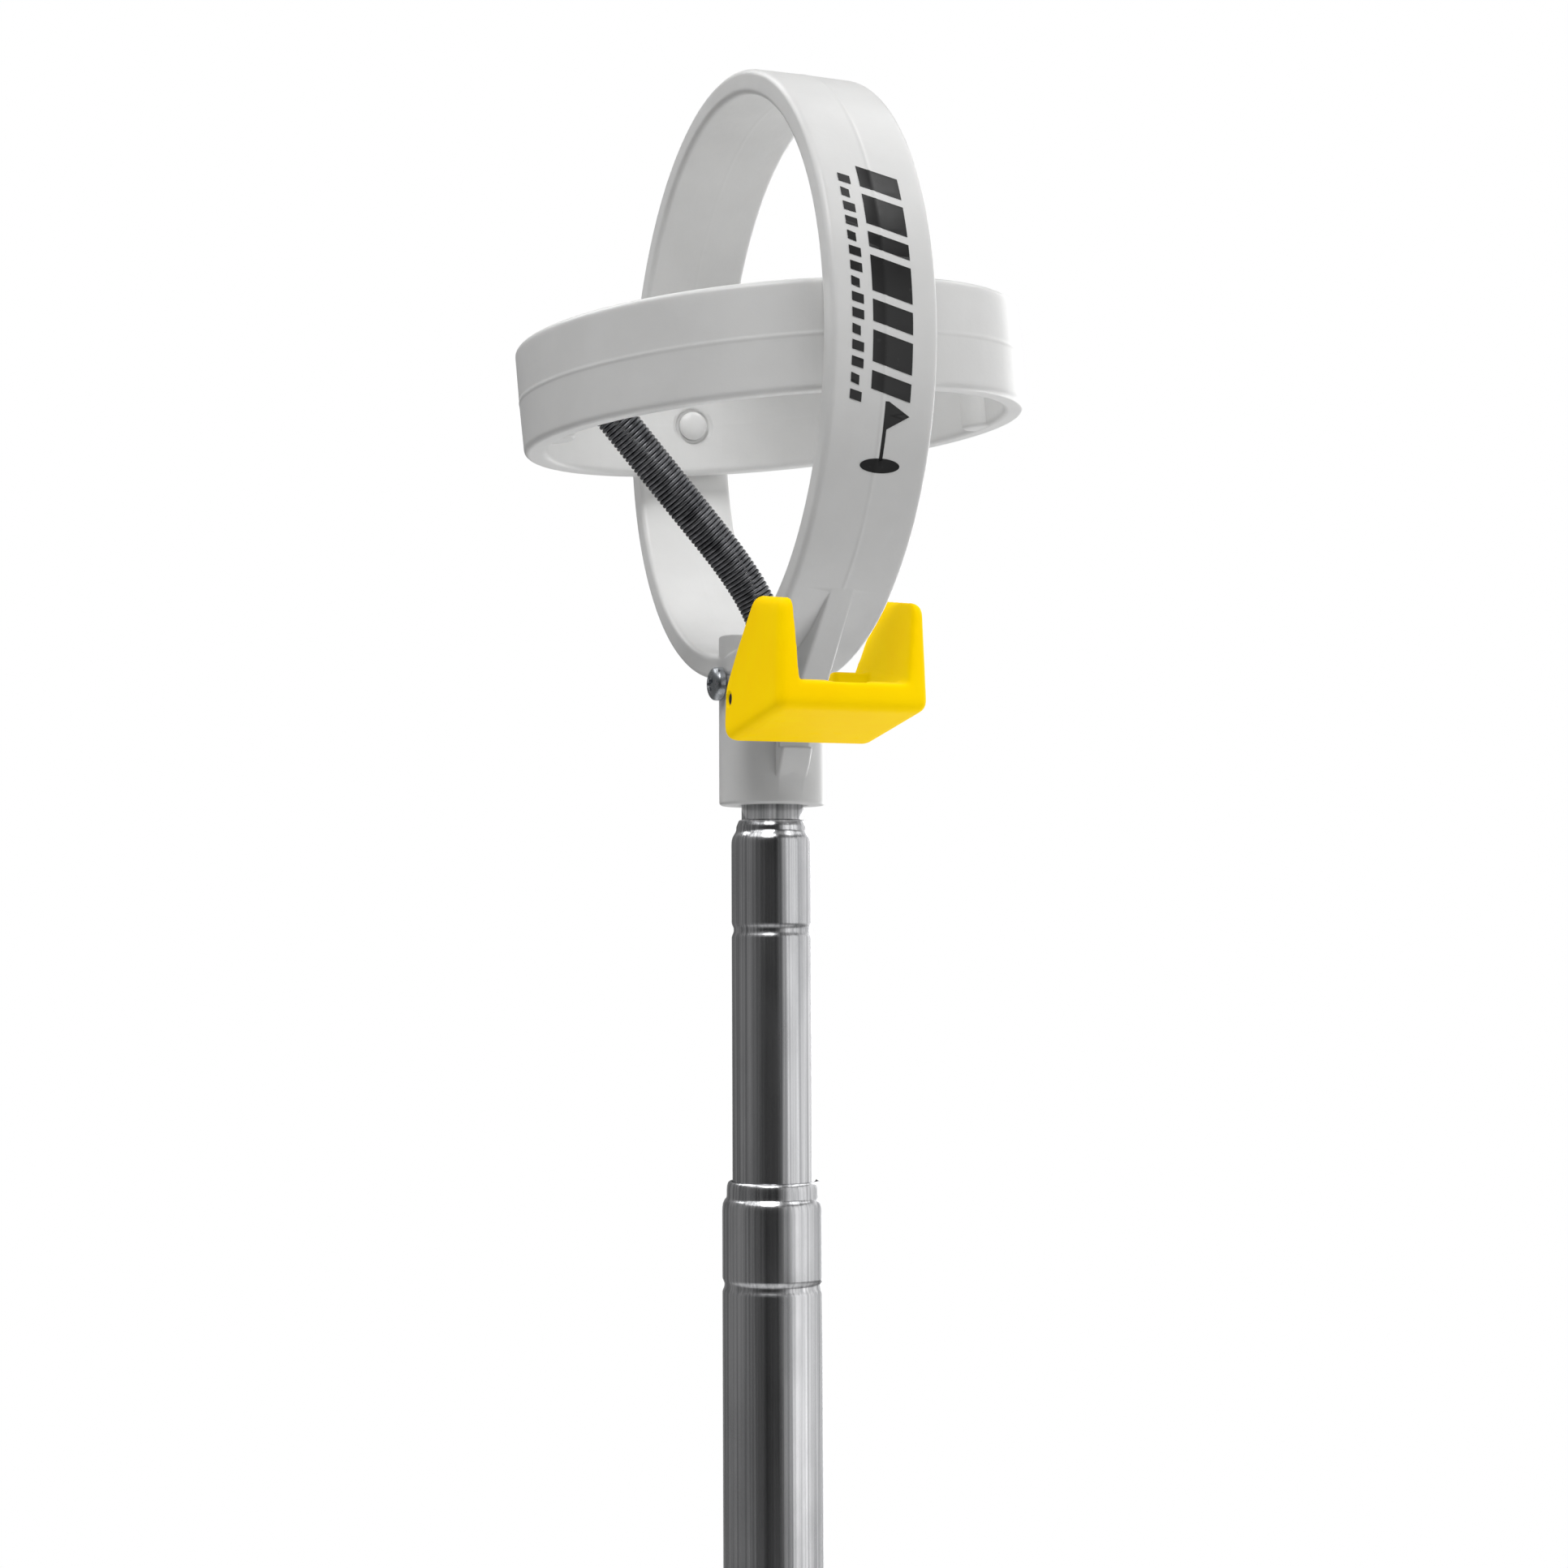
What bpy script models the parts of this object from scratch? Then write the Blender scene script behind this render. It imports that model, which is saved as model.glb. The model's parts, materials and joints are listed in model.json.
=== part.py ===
"""Golf ball retriever: a caging head of two crossed rings on a telescoping steel shaft.

The butt of the handle stands at the origin and the shaft runs up +Z. The head's hoop lies in
the YZ plane, the catch ring turns about the Y axis inside it, and the latch faces -Y.
"""

import math

import bmesh
import bpy
from mathutils import Matrix, Vector
from mathutils.geometry import interpolate_bezier

MM = 0.001
GAP = 0.3 * MM
SLIDE_GAP = 0.15 * MM

# Telescoping shaft: tube 1 is the thinnest, tube 5 the one under the grip
THINNEST_TUBE_RADIUS = 4.5 * MM
TUBE_STEP = 1.5 * MM
TUBE_RADII = [THINNEST_TUBE_RADIUS + TUBE_STEP * i for i in range(5)]
TUBE_WALL = 0.5 * MM
HANDLE_TUBE_LENGTH = 300.0 * MM
NESTED_STEP = 15.0 * MM  # how far each mouth stands out of the next one when all is pushed in
CRIMP_BELOW_MOUTH = [16.0 * MM, 14.8 * MM, 14.8 * MM, 14.8 * MM]  # tubes 2 to 5
CRIMP_DEPTH = 0.3 * MM
CRIMP_HALF_WIDTH = 0.8 * MM
SHOULDER_BELOW_MOUTH = 4.9 * MM
# Rolled mouths, as (mm inside the tube's own radius, mm below the mouth): lip, crease and shoulder
SHORT_MOUTH = [(1.20, 0.0), (0.88, 0.45), (0.75, 1.0), (0.62, 1.5), (0.12, 2.5), (0.0, 3.3)]
LONG_MOUTH = [(1.05, 0.0), (0.70, 0.5), (0.62, 1.8), (0.50, 2.4), (0.12, 3.0), (0.0, 4.0)]
BUSH_HEIGHT = 20.0 * MM
PULLED_OUT = [0.0, 37.2 * MM, 59.6 * MM, 0.0]  # tubes 1 to 4, out of the next one, as drawn
TUBE_SEGMENTS = 24

# Handle
BUTT_THICKNESS = 6.0 * MM
BUTT_RADIUS = 14.6 * MM
PLUG_HEIGHT = 12.0 * MM
SPIGOT_RADIUS = 4.0 * MM
SPIGOT_HEIGHT = 9.0 * MM
GRIP_BOTTOM = BUTT_THICKNESS + 2.0 * MM
GRIP_TOP = 252.0 * MM
COLLAR_HEIGHT = 9.0 * MM

# Head, measured from the centre of the catch ring
BAND_WIDTH = 15.5 * MM
HOOP_HALF_WIDTH = 41.6 * MM
HOOP_TOP = 44.7 * MM
HOOP_BOTTOM = 43.7 * MM
HOOP_WALL = 3.6 * MM
RING_RADIUS = 37.0 * MM
RING_WALL = 3.4 * MM
RING_HEIGHT = 15.2 * MM
RING_REST_TILT = math.radians(5.5)
EDGE_ROUND = 0.7 * MM
LUG_RADIUS = 2.8 * MM
PIVOT_RADIUS = 1.5 * MM
PIVOT_DEPTH = 2.8 * MM  # of its hole in the hoop's wall
PIVOT_HEAD_RADIUS = 2.2 * MM
PIVOT_RECESS_RADIUS = 2.8 * MM
PIVOT_RECESS_DEPTH = 0.5 * MM
RING_SWEEP_RADIUS = 38.3 * MM  # clears the turning ring's corners
SOCKET_RADIUS = 7.75 * MM
SOCKET_TOP = -36.6 * MM
SOCKET_BOTTOM = -62.1 * MM
TUBE_BORE_DEPTH = 11.0 * MM
SPRING_HOLE_BOTTOM = -49.0 * MM
SCREW_HEIGHT = -44.5 * MM
SCREW_SHANK_RADIUS = 1.3 * MM
WEB_THICKNESS = 3.9 * MM  # at the height of WEB_TOP, and thicker below
WEB_TOP = -33.0 * MM
WEB_DRAFT = -10.0  # share of the thickness per metre of height
SPRING_RADIUS = 2.8 * MM
SPRING_WIRE = 0.65 * MM
LATCH_PIN = Vector((0.0, -11.4 * MM, -47.8 * MM))
LATCH_WIDTH = 21.8 * MM  # at the height of the slot's floor
LATCH_SLOT_WIDTH = 16.2 * MM
LATCH_FLOOR = -46.0 * MM
LATCH_DRAFT = -3.0  # shares of the width per metre of height
LATCH_SLOT_DRAFT = 9.0
LATCH_ROUNDING = 1.5 * MM
LATCH_PIN_RADIUS = 1.0 * MM

MOUTH_GAP = 2.1 * MM  # between the socket and the mouth of tube 2


def tube_heights():
    """(bottom, mouth) of each tube as drawn, tube 1 first, and the height of the ring's centre."""
    floor = BUTT_THICKNESS + PLUG_HEIGHT + GAP
    heights = [(BUTT_THICKNESS, BUTT_THICKNESS + HANDLE_TUBE_LENGTH)]
    for pulled in reversed(PULLED_OUT[1:]):
        depth_below = floor if len(heights) == 1 else heights[0][0]
        heights.insert(0, (depth_below + pulled, heights[0][1] + NESTED_STEP + pulled))
    socket_foot = heights[0][1] + MOUTH_GAP
    heights.insert(0, (heights[0][0] + PULLED_OUT[0], socket_foot + TUBE_BORE_DEPTH - GAP))
    return heights, socket_foot - SOCKET_BOTTOM


TUBE_HEIGHTS, HEAD_HEIGHT = tube_heights()
HEAD = Vector((0.0, 0.0, HEAD_HEIGHT))
UPRIGHT = Matrix(((0, 0, 1, 0), (1, 0, 0, 0), (0, 1, 0, 0), (0, 0, 0, 1)))  # a drawing in YZ


# Tools


def clear_scene():
    for obj in list(bpy.data.objects):
        bpy.data.objects.remove(obj, do_unlink=True)


def new_collection(name, hidden=False):
    collection = bpy.data.collections.new(name)
    collection.hide_render = hidden
    bpy.context.scene.collection.children.link(collection)
    return collection


def material(name, colour, roughness, metallic=0.0):
    made = bpy.data.materials.new(name)
    made.use_nodes = True
    shader = made.node_tree.nodes["Principled BSDF"]
    shader.inputs["Base Color"].default_value = (*colour, 1.0)
    shader.inputs["Roughness"].default_value = roughness
    shader.inputs["Metallic"].default_value = metallic
    made.diffuse_color = (*colour, 1.0)
    return made


def add_object(name, data, finish=None):
    """The object goes with the parts if it has a finish, or else with the cutters."""
    obj = bpy.data.objects.new(name, data)
    if finish:
        PARTS.objects.link(obj)
        data.materials.append(finish)
    else:
        CUTTERS.objects.link(obj)
        obj.hide_render = True
        obj.display_type = "WIRE"
    return obj


def smooth(obj):
    obj.data.shade_smooth()
    obj.data.set_sharp_from_angle(angle=math.radians(35))


def settled(obj):
    """The object as a plain mesh, with its modifiers or its curve worked out and its caps welded."""
    name, finish = obj.name, obj.data.materials[0] if obj.data.materials else None
    graph = bpy.context.evaluated_depsgraph_get()
    mesh = bpy.data.meshes.new_from_object(obj.evaluated_get(graph), depsgraph=graph)
    mesh.materials.clear()
    place = obj.matrix_world.copy()
    bpy.data.objects.remove(obj, do_unlink=True)
    shape = bmesh.new()
    shape.from_mesh(mesh)
    bmesh.ops.remove_doubles(shape, verts=shape.verts, dist=0.00001)
    bmesh.ops.recalc_face_normals(shape, faces=shape.faces)
    shape.to_mesh(mesh)
    shape.free()
    plain = add_object(name, mesh, finish)
    plain.matrix_world = place
    return plain


def cylinder(name, radius, length, centre, axis="Z", segments=24, finish=None):
    shape = bmesh.new()
    bmesh.ops.create_cone(
        shape, cap_ends=True, segments=segments, radius1=radius, radius2=radius, depth=length
    )
    mesh = bpy.data.meshes.new(name)
    shape.to_mesh(mesh)
    shape.free()
    obj = add_object(name, mesh, finish)
    obj.rotation_euler = {"X": (0, math.pi / 2, 0), "Y": (math.pi / 2, 0, 0), "Z": (0, 0, 0)}[axis]
    obj.location = centre
    return obj


def block(name, size, centre):
    shape = bmesh.new()
    bmesh.ops.create_cube(shape, size=1.0)
    bmesh.ops.scale(shape, vec=size, verts=shape.verts)
    mesh = bpy.data.meshes.new(name)
    shape.to_mesh(mesh)
    shape.free()
    obj = add_object(name, mesh)
    obj.location = centre
    return obj


def turned(name, profile, finish=None, segments=TUBE_SEGMENTS, open_profile=False):
    """A profile of (radius, height) points turned about Z. It starts at the outer top."""
    mesh = bpy.data.meshes.new(name)
    points = [(radius, 0.0, height) for radius, height in profile]
    edges = [(i, i + 1) for i in range(len(points) - 1)]
    if not open_profile:
        edges.append((len(points) - 1, 0))
    mesh.from_pydata(points, edges, [])
    obj = add_object(name, mesh, finish)
    screw = obj.modifiers.new("Turn", "SCREW")
    screw.axis = "Z"
    screw.steps = screw.render_steps = segments
    screw.use_merge_vertices = True
    screw.merge_threshold = 0.00001
    return settled(obj)


def in_metres(points):
    return [(y * MM, z * MM) for y, z in points]


def drafted(obj, height, rate):
    """Widens a plate along X by a share of its width for each metre above the height given."""
    for vertex in obj.data.vertices:
        vertex.co.x *= 1 + rate * (vertex.co.z - height)
    return obj


def plate(name, outlines, thickness, finish=None, rounding=0.0):
    """A flat plate in the YZ plane about X = 0. Each outline is a closed list of (y, z) points."""
    drawing = bpy.data.curves.new(name, "CURVE")
    drawing.dimensions = "2D"
    drawing.fill_mode = "BOTH"
    drawing.extrude = thickness / 2
    for outline in outlines:
        spline = drawing.splines.new("POLY")
        spline.points.add(len(outline) - 1)
        for point, (y, z) in zip(spline.points, outline):
            point.co = (y, z, 0.0, 1.0)
        spline.use_cyclic_u = True
    obj = settled(add_object(name, drawing, finish))
    obj.data.transform(UPRIGHT)
    if rounding:
        bevel = obj.modifiers.new("Rounded edges", "BEVEL")
        bevel.width = rounding
        bevel.segments = 2
        bevel.limit_method = "ANGLE"
        bevel.angle_limit = math.radians(40)
        obj = settled(obj)
    return obj


def combine(obj, other, operation):
    boolean = obj.modifiers.new(other.name, "BOOLEAN")
    boolean.operation = operation
    boolean.solver = "EXACT"
    boolean.object = other


def cut(obj, *cutters):
    for cutter in cutters:
        combine(obj, cutter, "DIFFERENCE")


def join(obj, *others):
    for other in others:
        combine(obj, other, "UNION")


def put_origin(obj, point):
    """Moves an object's origin to a point in the world, and leaves its shape where it is."""
    obj.data.transform(Matrix.Translation(obj.location - point))
    obj.location = point


def oval(half_width, top, bottom, steps):
    """A closed oval of (y, z) points with its widest place at the height of the ring's pivot."""
    points = []
    for i in range(steps):
        angle = math.tau * i / steps
        height = top if math.sin(angle) > 0 else bottom
        points.append((half_width * math.cos(angle), height * math.sin(angle)))
    return points


# Head


def socket_blank():
    """Boss that takes the shaft, with its top hollowed so that the turning ring clears it."""
    length = SOCKET_TOP - SOCKET_BOTTOM
    middle = HEAD + Vector((0, 0, (SOCKET_TOP + SOCKET_BOTTOM) / 2))
    socket = cylinder("socket", SOCKET_RADIUS, length, middle, segments=40)
    sweep = cylinder("ring_sweep", RING_SWEEP_RADIUS, 3 * SOCKET_RADIUS, HEAD, "Y", 96)
    cut(socket, sweep)
    return socket


def web_blank():
    """Front web from the hoop down to the socket, which the latch turns on."""
    outline = [(-27.3, -32.8), (-17.0, -44.6), (-10.3, -52.6), (-10.0, -56.5), (-7.0, -59.0)]
    outline += [(-4.5, -59.0), (-4.5, -42.0), (-25.6, -32.6)]
    web = drafted(plate("web", [in_metres(outline)], WEB_THICKNESS), WEB_TOP, WEB_DRAFT)
    web.location = HEAD
    return web


def head_hoop():
    """Hoop, shaft socket and the front web that carries the latch, moulded in one."""
    steps = 72
    outer = oval(HOOP_HALF_WIDTH, HOOP_TOP, HOOP_BOTTOM, steps)
    inner_face = HOOP_HALF_WIDTH - HOOP_WALL
    inner = oval(inner_face, HOOP_TOP - HOOP_WALL, HOOP_BOTTOM - HOOP_WALL, steps)
    hoop = plate("head_hoop", [outer, inner], BAND_WIDTH, WHITE_NYLON, EDGE_ROUND)
    hoop.location = HEAD
    join(hoop, socket_blank(), web_blank())

    overrun = 2 * MM
    side_hole_length = 10 * MM
    bore_length = TUBE_BORE_DEPTH + overrun
    bore_middle = SOCKET_BOTTOM + TUBE_BORE_DEPTH - bore_length / 2
    spring_hole_length = SOCKET_TOP + overrun - SPRING_HOLE_BOTTOM
    spring_hole_middle = SPRING_HOLE_BOTTOM + spring_hole_length / 2
    cut(
        hoop,
        cylinder("tube_bore", TUBE_RADII[0] + GAP, bore_length, HEAD + Vector((0, 0, bore_middle))),
        cylinder(
            "spring_hole",
            SPRING_RADIUS + GAP,
            spring_hole_length,
            HEAD + Vector((0, 0, spring_hole_middle)),
        ),
        cylinder(
            "screw_hole",
            SCREW_SHANK_RADIUS + GAP,
            side_hole_length,
            HEAD + Vector((-(SPRING_RADIUS + side_hole_length / 3), 0, SCREW_HEIGHT)),
            "X",
            16,
        ),
        cylinder("latch_hole", LATCH_PIN_RADIUS + GAP, side_hole_length, HEAD + LATCH_PIN, "X", 16),
    )
    for side in (-1, 1):
        middle = side * (inner_face + (PIVOT_DEPTH - overrun) / 2)
        hole_length = PIVOT_DEPTH + overrun
        place = HEAD + Vector((0, middle, 0))
        cut(hoop, cylinder(f"pivot_hole_{side}", PIVOT_RADIUS + GAP, hole_length, place, "Y", 16))
    smooth(settled(hoop))


def spring_line():
    """Points along the spring's axis in the head: straight from the ring, then down into the socket."""
    start = Vector((-28.2, 0, -1.9)) * MM
    bend = Vector((-9.4, 0, -23.05)) * MM
    foot = Vector((0, 0, -40.5)) * MM
    bottom = Vector((0, 0, SPRING_HOLE_BOTTOM + GAP))
    above_foot = foot + Vector((0, 0, 6 * MM))
    below_bend = bend + (bend - start).normalized() * 7 * MM
    straight = [start.lerp(bend, i / 6) for i in range(6)]
    return straight + list(interpolate_bezier(bend, below_bend, above_foot, foot, 14)) + [bottom]


def rounded_band(outer, inner, half_height, rounding):
    """(radius, height) points round the cross-section of a band with rounded edges."""
    shallow = 0.3 * rounding
    corner = [(-rounding, 0.0), (-shallow, -shallow), (0.0, -rounding)]
    upper_outer = [(outer + x, half_height + z) for x, z in corner]
    upper_inner = [(inner - x, half_height + z) for x, z in reversed(corner)]
    lower_outer = [(x, -z) for x, z in reversed(upper_outer)]
    lower_inner = [(x, -z) for x, z in reversed(upper_inner)]
    return upper_outer + lower_outer + lower_inner + upper_inner


def catch_ring():
    """Ring that lets the ball in, with a lug at each side of it and a peg for the spring."""
    inner = RING_RADIUS - RING_WALL
    profile = rounded_band(RING_RADIUS, inner, RING_HEIGHT / 2, EDGE_ROUND)
    ring = turned("catch_ring", profile, WHITE_NYLON, 64)
    ring.matrix_world = Matrix.Translation(HEAD) @ Matrix.Rotation(-RING_REST_TILT, 4, "Y")
    lug_height = RING_HEIGHT - 0.4 * MM
    hole_length, recess_length = 12 * MM, 4 * MM
    recess_middle = inner - recess_length / 2 + PIVOT_RECESS_DEPTH
    for side in (-1, 1):
        lug = cylinder(f"lug_{side}", LUG_RADIUS, lug_height, (0, 0, 0), segments=20)
        lug.matrix_world = ring.matrix_world @ Matrix.Translation((side * inner, 0, 0))
        join(ring, lug)
        middle = HEAD + Vector((0, side * recess_middle, 0))
        recess = cylinder(f"recess_{side}", PIVOT_RECESS_RADIUS, recess_length, middle, "Y")
        middle = HEAD + Vector((0, side * inner, 0))
        hole = cylinder(f"ring_hole_{side}", PIVOT_RADIUS + GAP, hole_length, middle, "Y", 16)
        cut(ring, recess, hole)

    line = spring_line()
    run = (line[1] - line[0]).normalized()
    peg_radius, peg_length = 1.75 * MM, 8.5 * MM
    peg = cylinder("spring_peg", peg_radius, peg_length, (0, 0, 0), segments=16)
    turn = Vector((0, 0, 1)).rotation_difference(run).to_matrix().to_4x4()
    peg.matrix_world = Matrix.Translation(HEAD + line[0] - run * 0.1 * peg_length) @ turn
    join(ring, peg)
    bpy.context.view_layer.update()
    smooth(settled(ring))


def pivot_pins():
    """Round-headed pins through the ring's wall into the hoop, one at each end of the hinge."""
    head_face = RING_RADIUS - RING_WALL + PIVOT_RECESS_DEPTH - GAP
    head_edge, dome_height = 0.5 * MM, 0.9 * MM
    tip = HOOP_HALF_WIDTH - HOOP_WALL + PIVOT_DEPTH - GAP
    profile = [(0, tip), (PIVOT_RADIUS, tip), (PIVOT_RADIUS, head_face)]
    profile.append((PIVOT_HEAD_RADIUS, head_face))
    for angle in (90, 65, 40, 18, 0):
        around = math.radians(angle)
        height = head_face - head_edge - dome_height * math.cos(around)
        profile.append((PIVOT_HEAD_RADIUS * math.sin(around), height))
    for name, side in (("pivot_pin_front", -1), ("pivot_pin_back", 1)):
        pin = turned(name, profile, WHITE_NYLON, 16, open_profile=True)
        pin.rotation_euler = (-side * math.pi / 2, 0, 0)
        pin.location = HEAD
        smooth(pin)


def catch_spring():
    """Close-wound spring as a hollow bent tube of its own outer size."""
    line = [HEAD + point for point in spring_line()]
    curve = bpy.data.curves.new("catch_spring", "CURVE")
    curve.dimensions = "3D"
    curve.bevel_depth = SPRING_RADIUS
    curve.bevel_resolution = 3
    curve.use_fill_caps = False
    spline = curve.splines.new("POLY")
    spline.points.add(len(line) - 1)
    for point, place in zip(spline.points, line):
        point.co = (*place, 1.0)
    spring = settled(add_object("catch_spring", curve, SPRING_STEEL))
    wall = spring.modifiers.new("Wall", "SOLIDIFY")
    wall.thickness = SPRING_WIRE
    wall.offset = -1.0
    smooth(spring)


def spring_screw():
    """Pan-head screw in the side of the socket that clamps the spring's lower end."""
    under_head = SOCKET_RADIUS + GAP
    tip = SPRING_RADIUS + GAP
    point_radius, point_height = 0.6 * MM, 0.8 * MM
    head_radius, head_height = 2.45 * MM, 1.8 * MM
    crown = [(0, 1), (0.55, 1), (0.85, 0.82), (1, 0.5), (1, 0)]  # shares of the head's size
    profile = [(r * head_radius, under_head + h * head_height) for r, h in crown]
    profile += [
        (SCREW_SHANK_RADIUS, under_head),
        (SCREW_SHANK_RADIUS, tip + point_height),
        (point_radius, tip),
        (0, tip),
    ]
    screw = turned("spring_screw", profile, STEEL, 20, open_profile=True)
    place = Matrix.Translation(HEAD + Vector((0, 0, SCREW_HEIGHT)))
    screw.matrix_world = place @ Matrix.Rotation(-math.pi / 2, 4, "Y")
    recess_depth, arm_length, arm_width = 0.8 * MM, 3.2 * MM, 0.7 * MM
    middle = HEAD + Vector((-(under_head + head_height), 0, SCREW_HEIGHT))
    cut(
        screw,
        block("driver_recess_flat", (2 * recess_depth, arm_length, arm_width), middle),
        block("driver_recess_upright", (2 * recess_depth, arm_width, arm_length), middle),
    )
    bpy.context.view_layer.update()
    smooth(settled(screw))


def latch_clip():
    """U-shaped clip whose two arms straddle the hoop and, swung up, hold the folded ring too."""
    side_view = [(-9.0, -46.6), (-9.0, -53.9), (-30.5, -50.5), (-30.3, -35.1), (-20.2, -34.9)]
    side_view += [(-13.4, -40.6), (-10.6, -43.8)]
    clip = plate(
        "latch_clip", [in_metres(side_view)], LATCH_WIDTH, YELLOW_NYLON, LATCH_ROUNDING
    )
    drafted(clip, LATCH_FLOOR, LATCH_DRAFT).location = HEAD

    between_arms = [(-32.0, -47.5), (-15.6, -44.0), (-12.6, -44.8), (-10.8, -44.8), (-8.2, -46.4)]
    between_arms += [(-6.0, -46.4), (-6.0, -33.0), (-32.0, -33.0)]
    behind_lip = [(-27.4, -48.2), (-16.9, -49.2), (-16.9, -42.0), (-27.4, -42.0)]
    web_groove = [(-30.0, -46.8), (-17.8, -49.2), (-12.9, -50.3), (-10.8, -52.8), (-10.7, -56.5)]
    web_groove += [(-6.0, -56.5), (-6.0, -40.0), (-30.0, -40.0)]
    web_width = WEB_THICKNESS * (1 + WEB_DRAFT * (LATCH_FLOOR - WEB_TOP))
    for name, side_view, width, height, rate in (
        ("between_arms", between_arms, LATCH_SLOT_WIDTH, LATCH_FLOOR, LATCH_SLOT_DRAFT),
        ("behind_lip", behind_lip, LATCH_SLOT_WIDTH - 2 * GAP, LATCH_FLOOR, LATCH_SLOT_DRAFT),
        ("web_groove", web_groove, web_width + 3 * GAP, LATCH_FLOOR, WEB_DRAFT),
    ):
        cutter = drafted(plate(name, [in_metres(side_view)], width), height, rate)
        cutter.location = HEAD
        cut(clip, cutter)
    bore_length = 1.5 * LATCH_WIDTH
    cut(clip, cylinder("latch_bore", LATCH_PIN_RADIUS + GAP, bore_length, HEAD + LATCH_PIN, "X", 16))
    clip = settled(clip)
    put_origin(clip, HEAD + LATCH_PIN)
    smooth(clip)


def latch_pin():
    cylinder(
        "latch_pin", LATCH_PIN_RADIUS, LATCH_WIDTH - 2 * MM, HEAD + LATCH_PIN, "X", 16, STEEL
    )


# Shaft


def mouth_profile(number):
    """Outer points of a tube's upper end, top to bottom: rolled mouth and crimp."""
    radius, mouth = TUBE_RADII[number - 1], TUBE_HEIGHTS[number - 1][1]
    crimp = mouth - CRIMP_BELOW_MOUTH[number - 2]
    rolled = SHORT_MOUTH if number == 2 else LONG_MOUTH
    return [(radius - inset * MM, mouth - drop * MM) for inset, drop in rolled] + [
        (radius, crimp + CRIMP_HALF_WIDTH),
        (radius - CRIMP_DEPTH, crimp),
        (radius, crimp - CRIMP_HALF_WIDTH),
    ]


def shaft_tube(number):
    """A drawn tube. All but the first have a mouth that is rolled in over the next thinner tube."""
    radius = TUBE_RADII[number - 1]
    bottom, mouth = TUBE_HEIGHTS[number - 1]
    inner = radius - TUBE_WALL
    if number == 1:
        profile = [(radius, mouth), (radius, bottom), (inner, bottom), (inner, mouth)]
    else:
        crimp = CRIMP_BELOW_MOUTH[number - 2]
        bore = radius - TUBE_STEP + SLIDE_GAP
        profile = mouth_profile(number) + [
            (radius, bottom),
            (inner, bottom),
            (inner, mouth - crimp - CRIMP_HALF_WIDTH),
            (inner - CRIMP_DEPTH, mouth - crimp),
            (inner, mouth - crimp + CRIMP_HALF_WIDTH),
            (inner, mouth - SHOULDER_BELOW_MOUTH),
            (bore, mouth - SHOULDER_BELOW_MOUTH + 2 * MM),
            (bore, mouth),
        ]
    tube = turned(f"tube_{number}", profile, STAINLESS)
    put_origin(tube, Vector((0, 0, bottom)))
    smooth(tube)


def guide_ring(name, tube_number, bottom, top):
    """A thin sleeve that fills the space between a tube and the next thinner one."""
    outer = TUBE_RADII[tube_number - 1] - TUBE_WALL - SLIDE_GAP
    inner = TUBE_RADII[tube_number - 2] + SLIDE_GAP
    profile = [(outer, top), (outer, bottom), (inner, bottom), (inner, top)]
    ring = turned(name, profile, ACETAL)
    put_origin(ring, Vector((0, 0, bottom)))
    return ring


def mouth_sleeve(number):
    """Guide sleeve held between a tube's shoulder and its crimp."""
    mouth = TUBE_HEIGHTS[number - 1][1]
    crimp = mouth - CRIMP_BELOW_MOUTH[number - 2]
    top = mouth - SHOULDER_BELOW_MOUTH - GAP
    smooth(guide_ring(f"mouth_sleeve_{number}", number, crimp + CRIMP_HALF_WIDTH + GAP, top))


def friction_bush(number):
    """Split bush round a tube's foot that rubs in the next wider tube and stops it at the crimp."""
    bottom = TUBE_HEIGHTS[number - 1][0]
    bush = guide_ring(f"friction_bush_{number}", number + 1, bottom, bottom + BUSH_HEIGHT)
    split_width, reach = 1.6 * MM, 1.5 * TUBE_RADII[number]
    split = block(
        f"bush_split_{number}",
        (split_width, reach, 1.5 * BUSH_HEIGHT),
        Vector((0, reach / 2, bottom + BUSH_HEIGHT / 2)),
    )
    cut(bush, split)
    smooth(settled(bush))


# Handle


def end_plug():
    radius = TUBE_RADII[4] - TUBE_WALL - GAP
    bore = SPIGOT_RADIUS + GAP
    top = BUTT_THICKNESS + PLUG_HEIGHT
    profile = [(radius, top), (radius, BUTT_THICKNESS), (bore, BUTT_THICKNESS), (bore, top)]
    smooth(turned("end_plug", profile, ACETAL))


def butt_cap():
    """Cap that closes the handle, with a spigot pressed into the end plug."""
    top = BUTT_THICKNESS - GAP
    upper_round, lower_round = 0.6 * MM, 1.5 * MM
    profile = [
        (0, top + SPIGOT_HEIGHT),
        (SPIGOT_RADIUS, top + SPIGOT_HEIGHT),
        (SPIGOT_RADIUS, top),
        (BUTT_RADIUS - upper_round, top),
        (BUTT_RADIUS, top - upper_round),
        (BUTT_RADIUS, lower_round),
        (BUTT_RADIUS - 0.3 * lower_round, 0.3 * lower_round),
        (BUTT_RADIUS - lower_round, 0),
        (0, 0),
    ]
    smooth(turned("butt_cap", profile, BLACK_PLASTIC, 40, open_profile=True))


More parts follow.
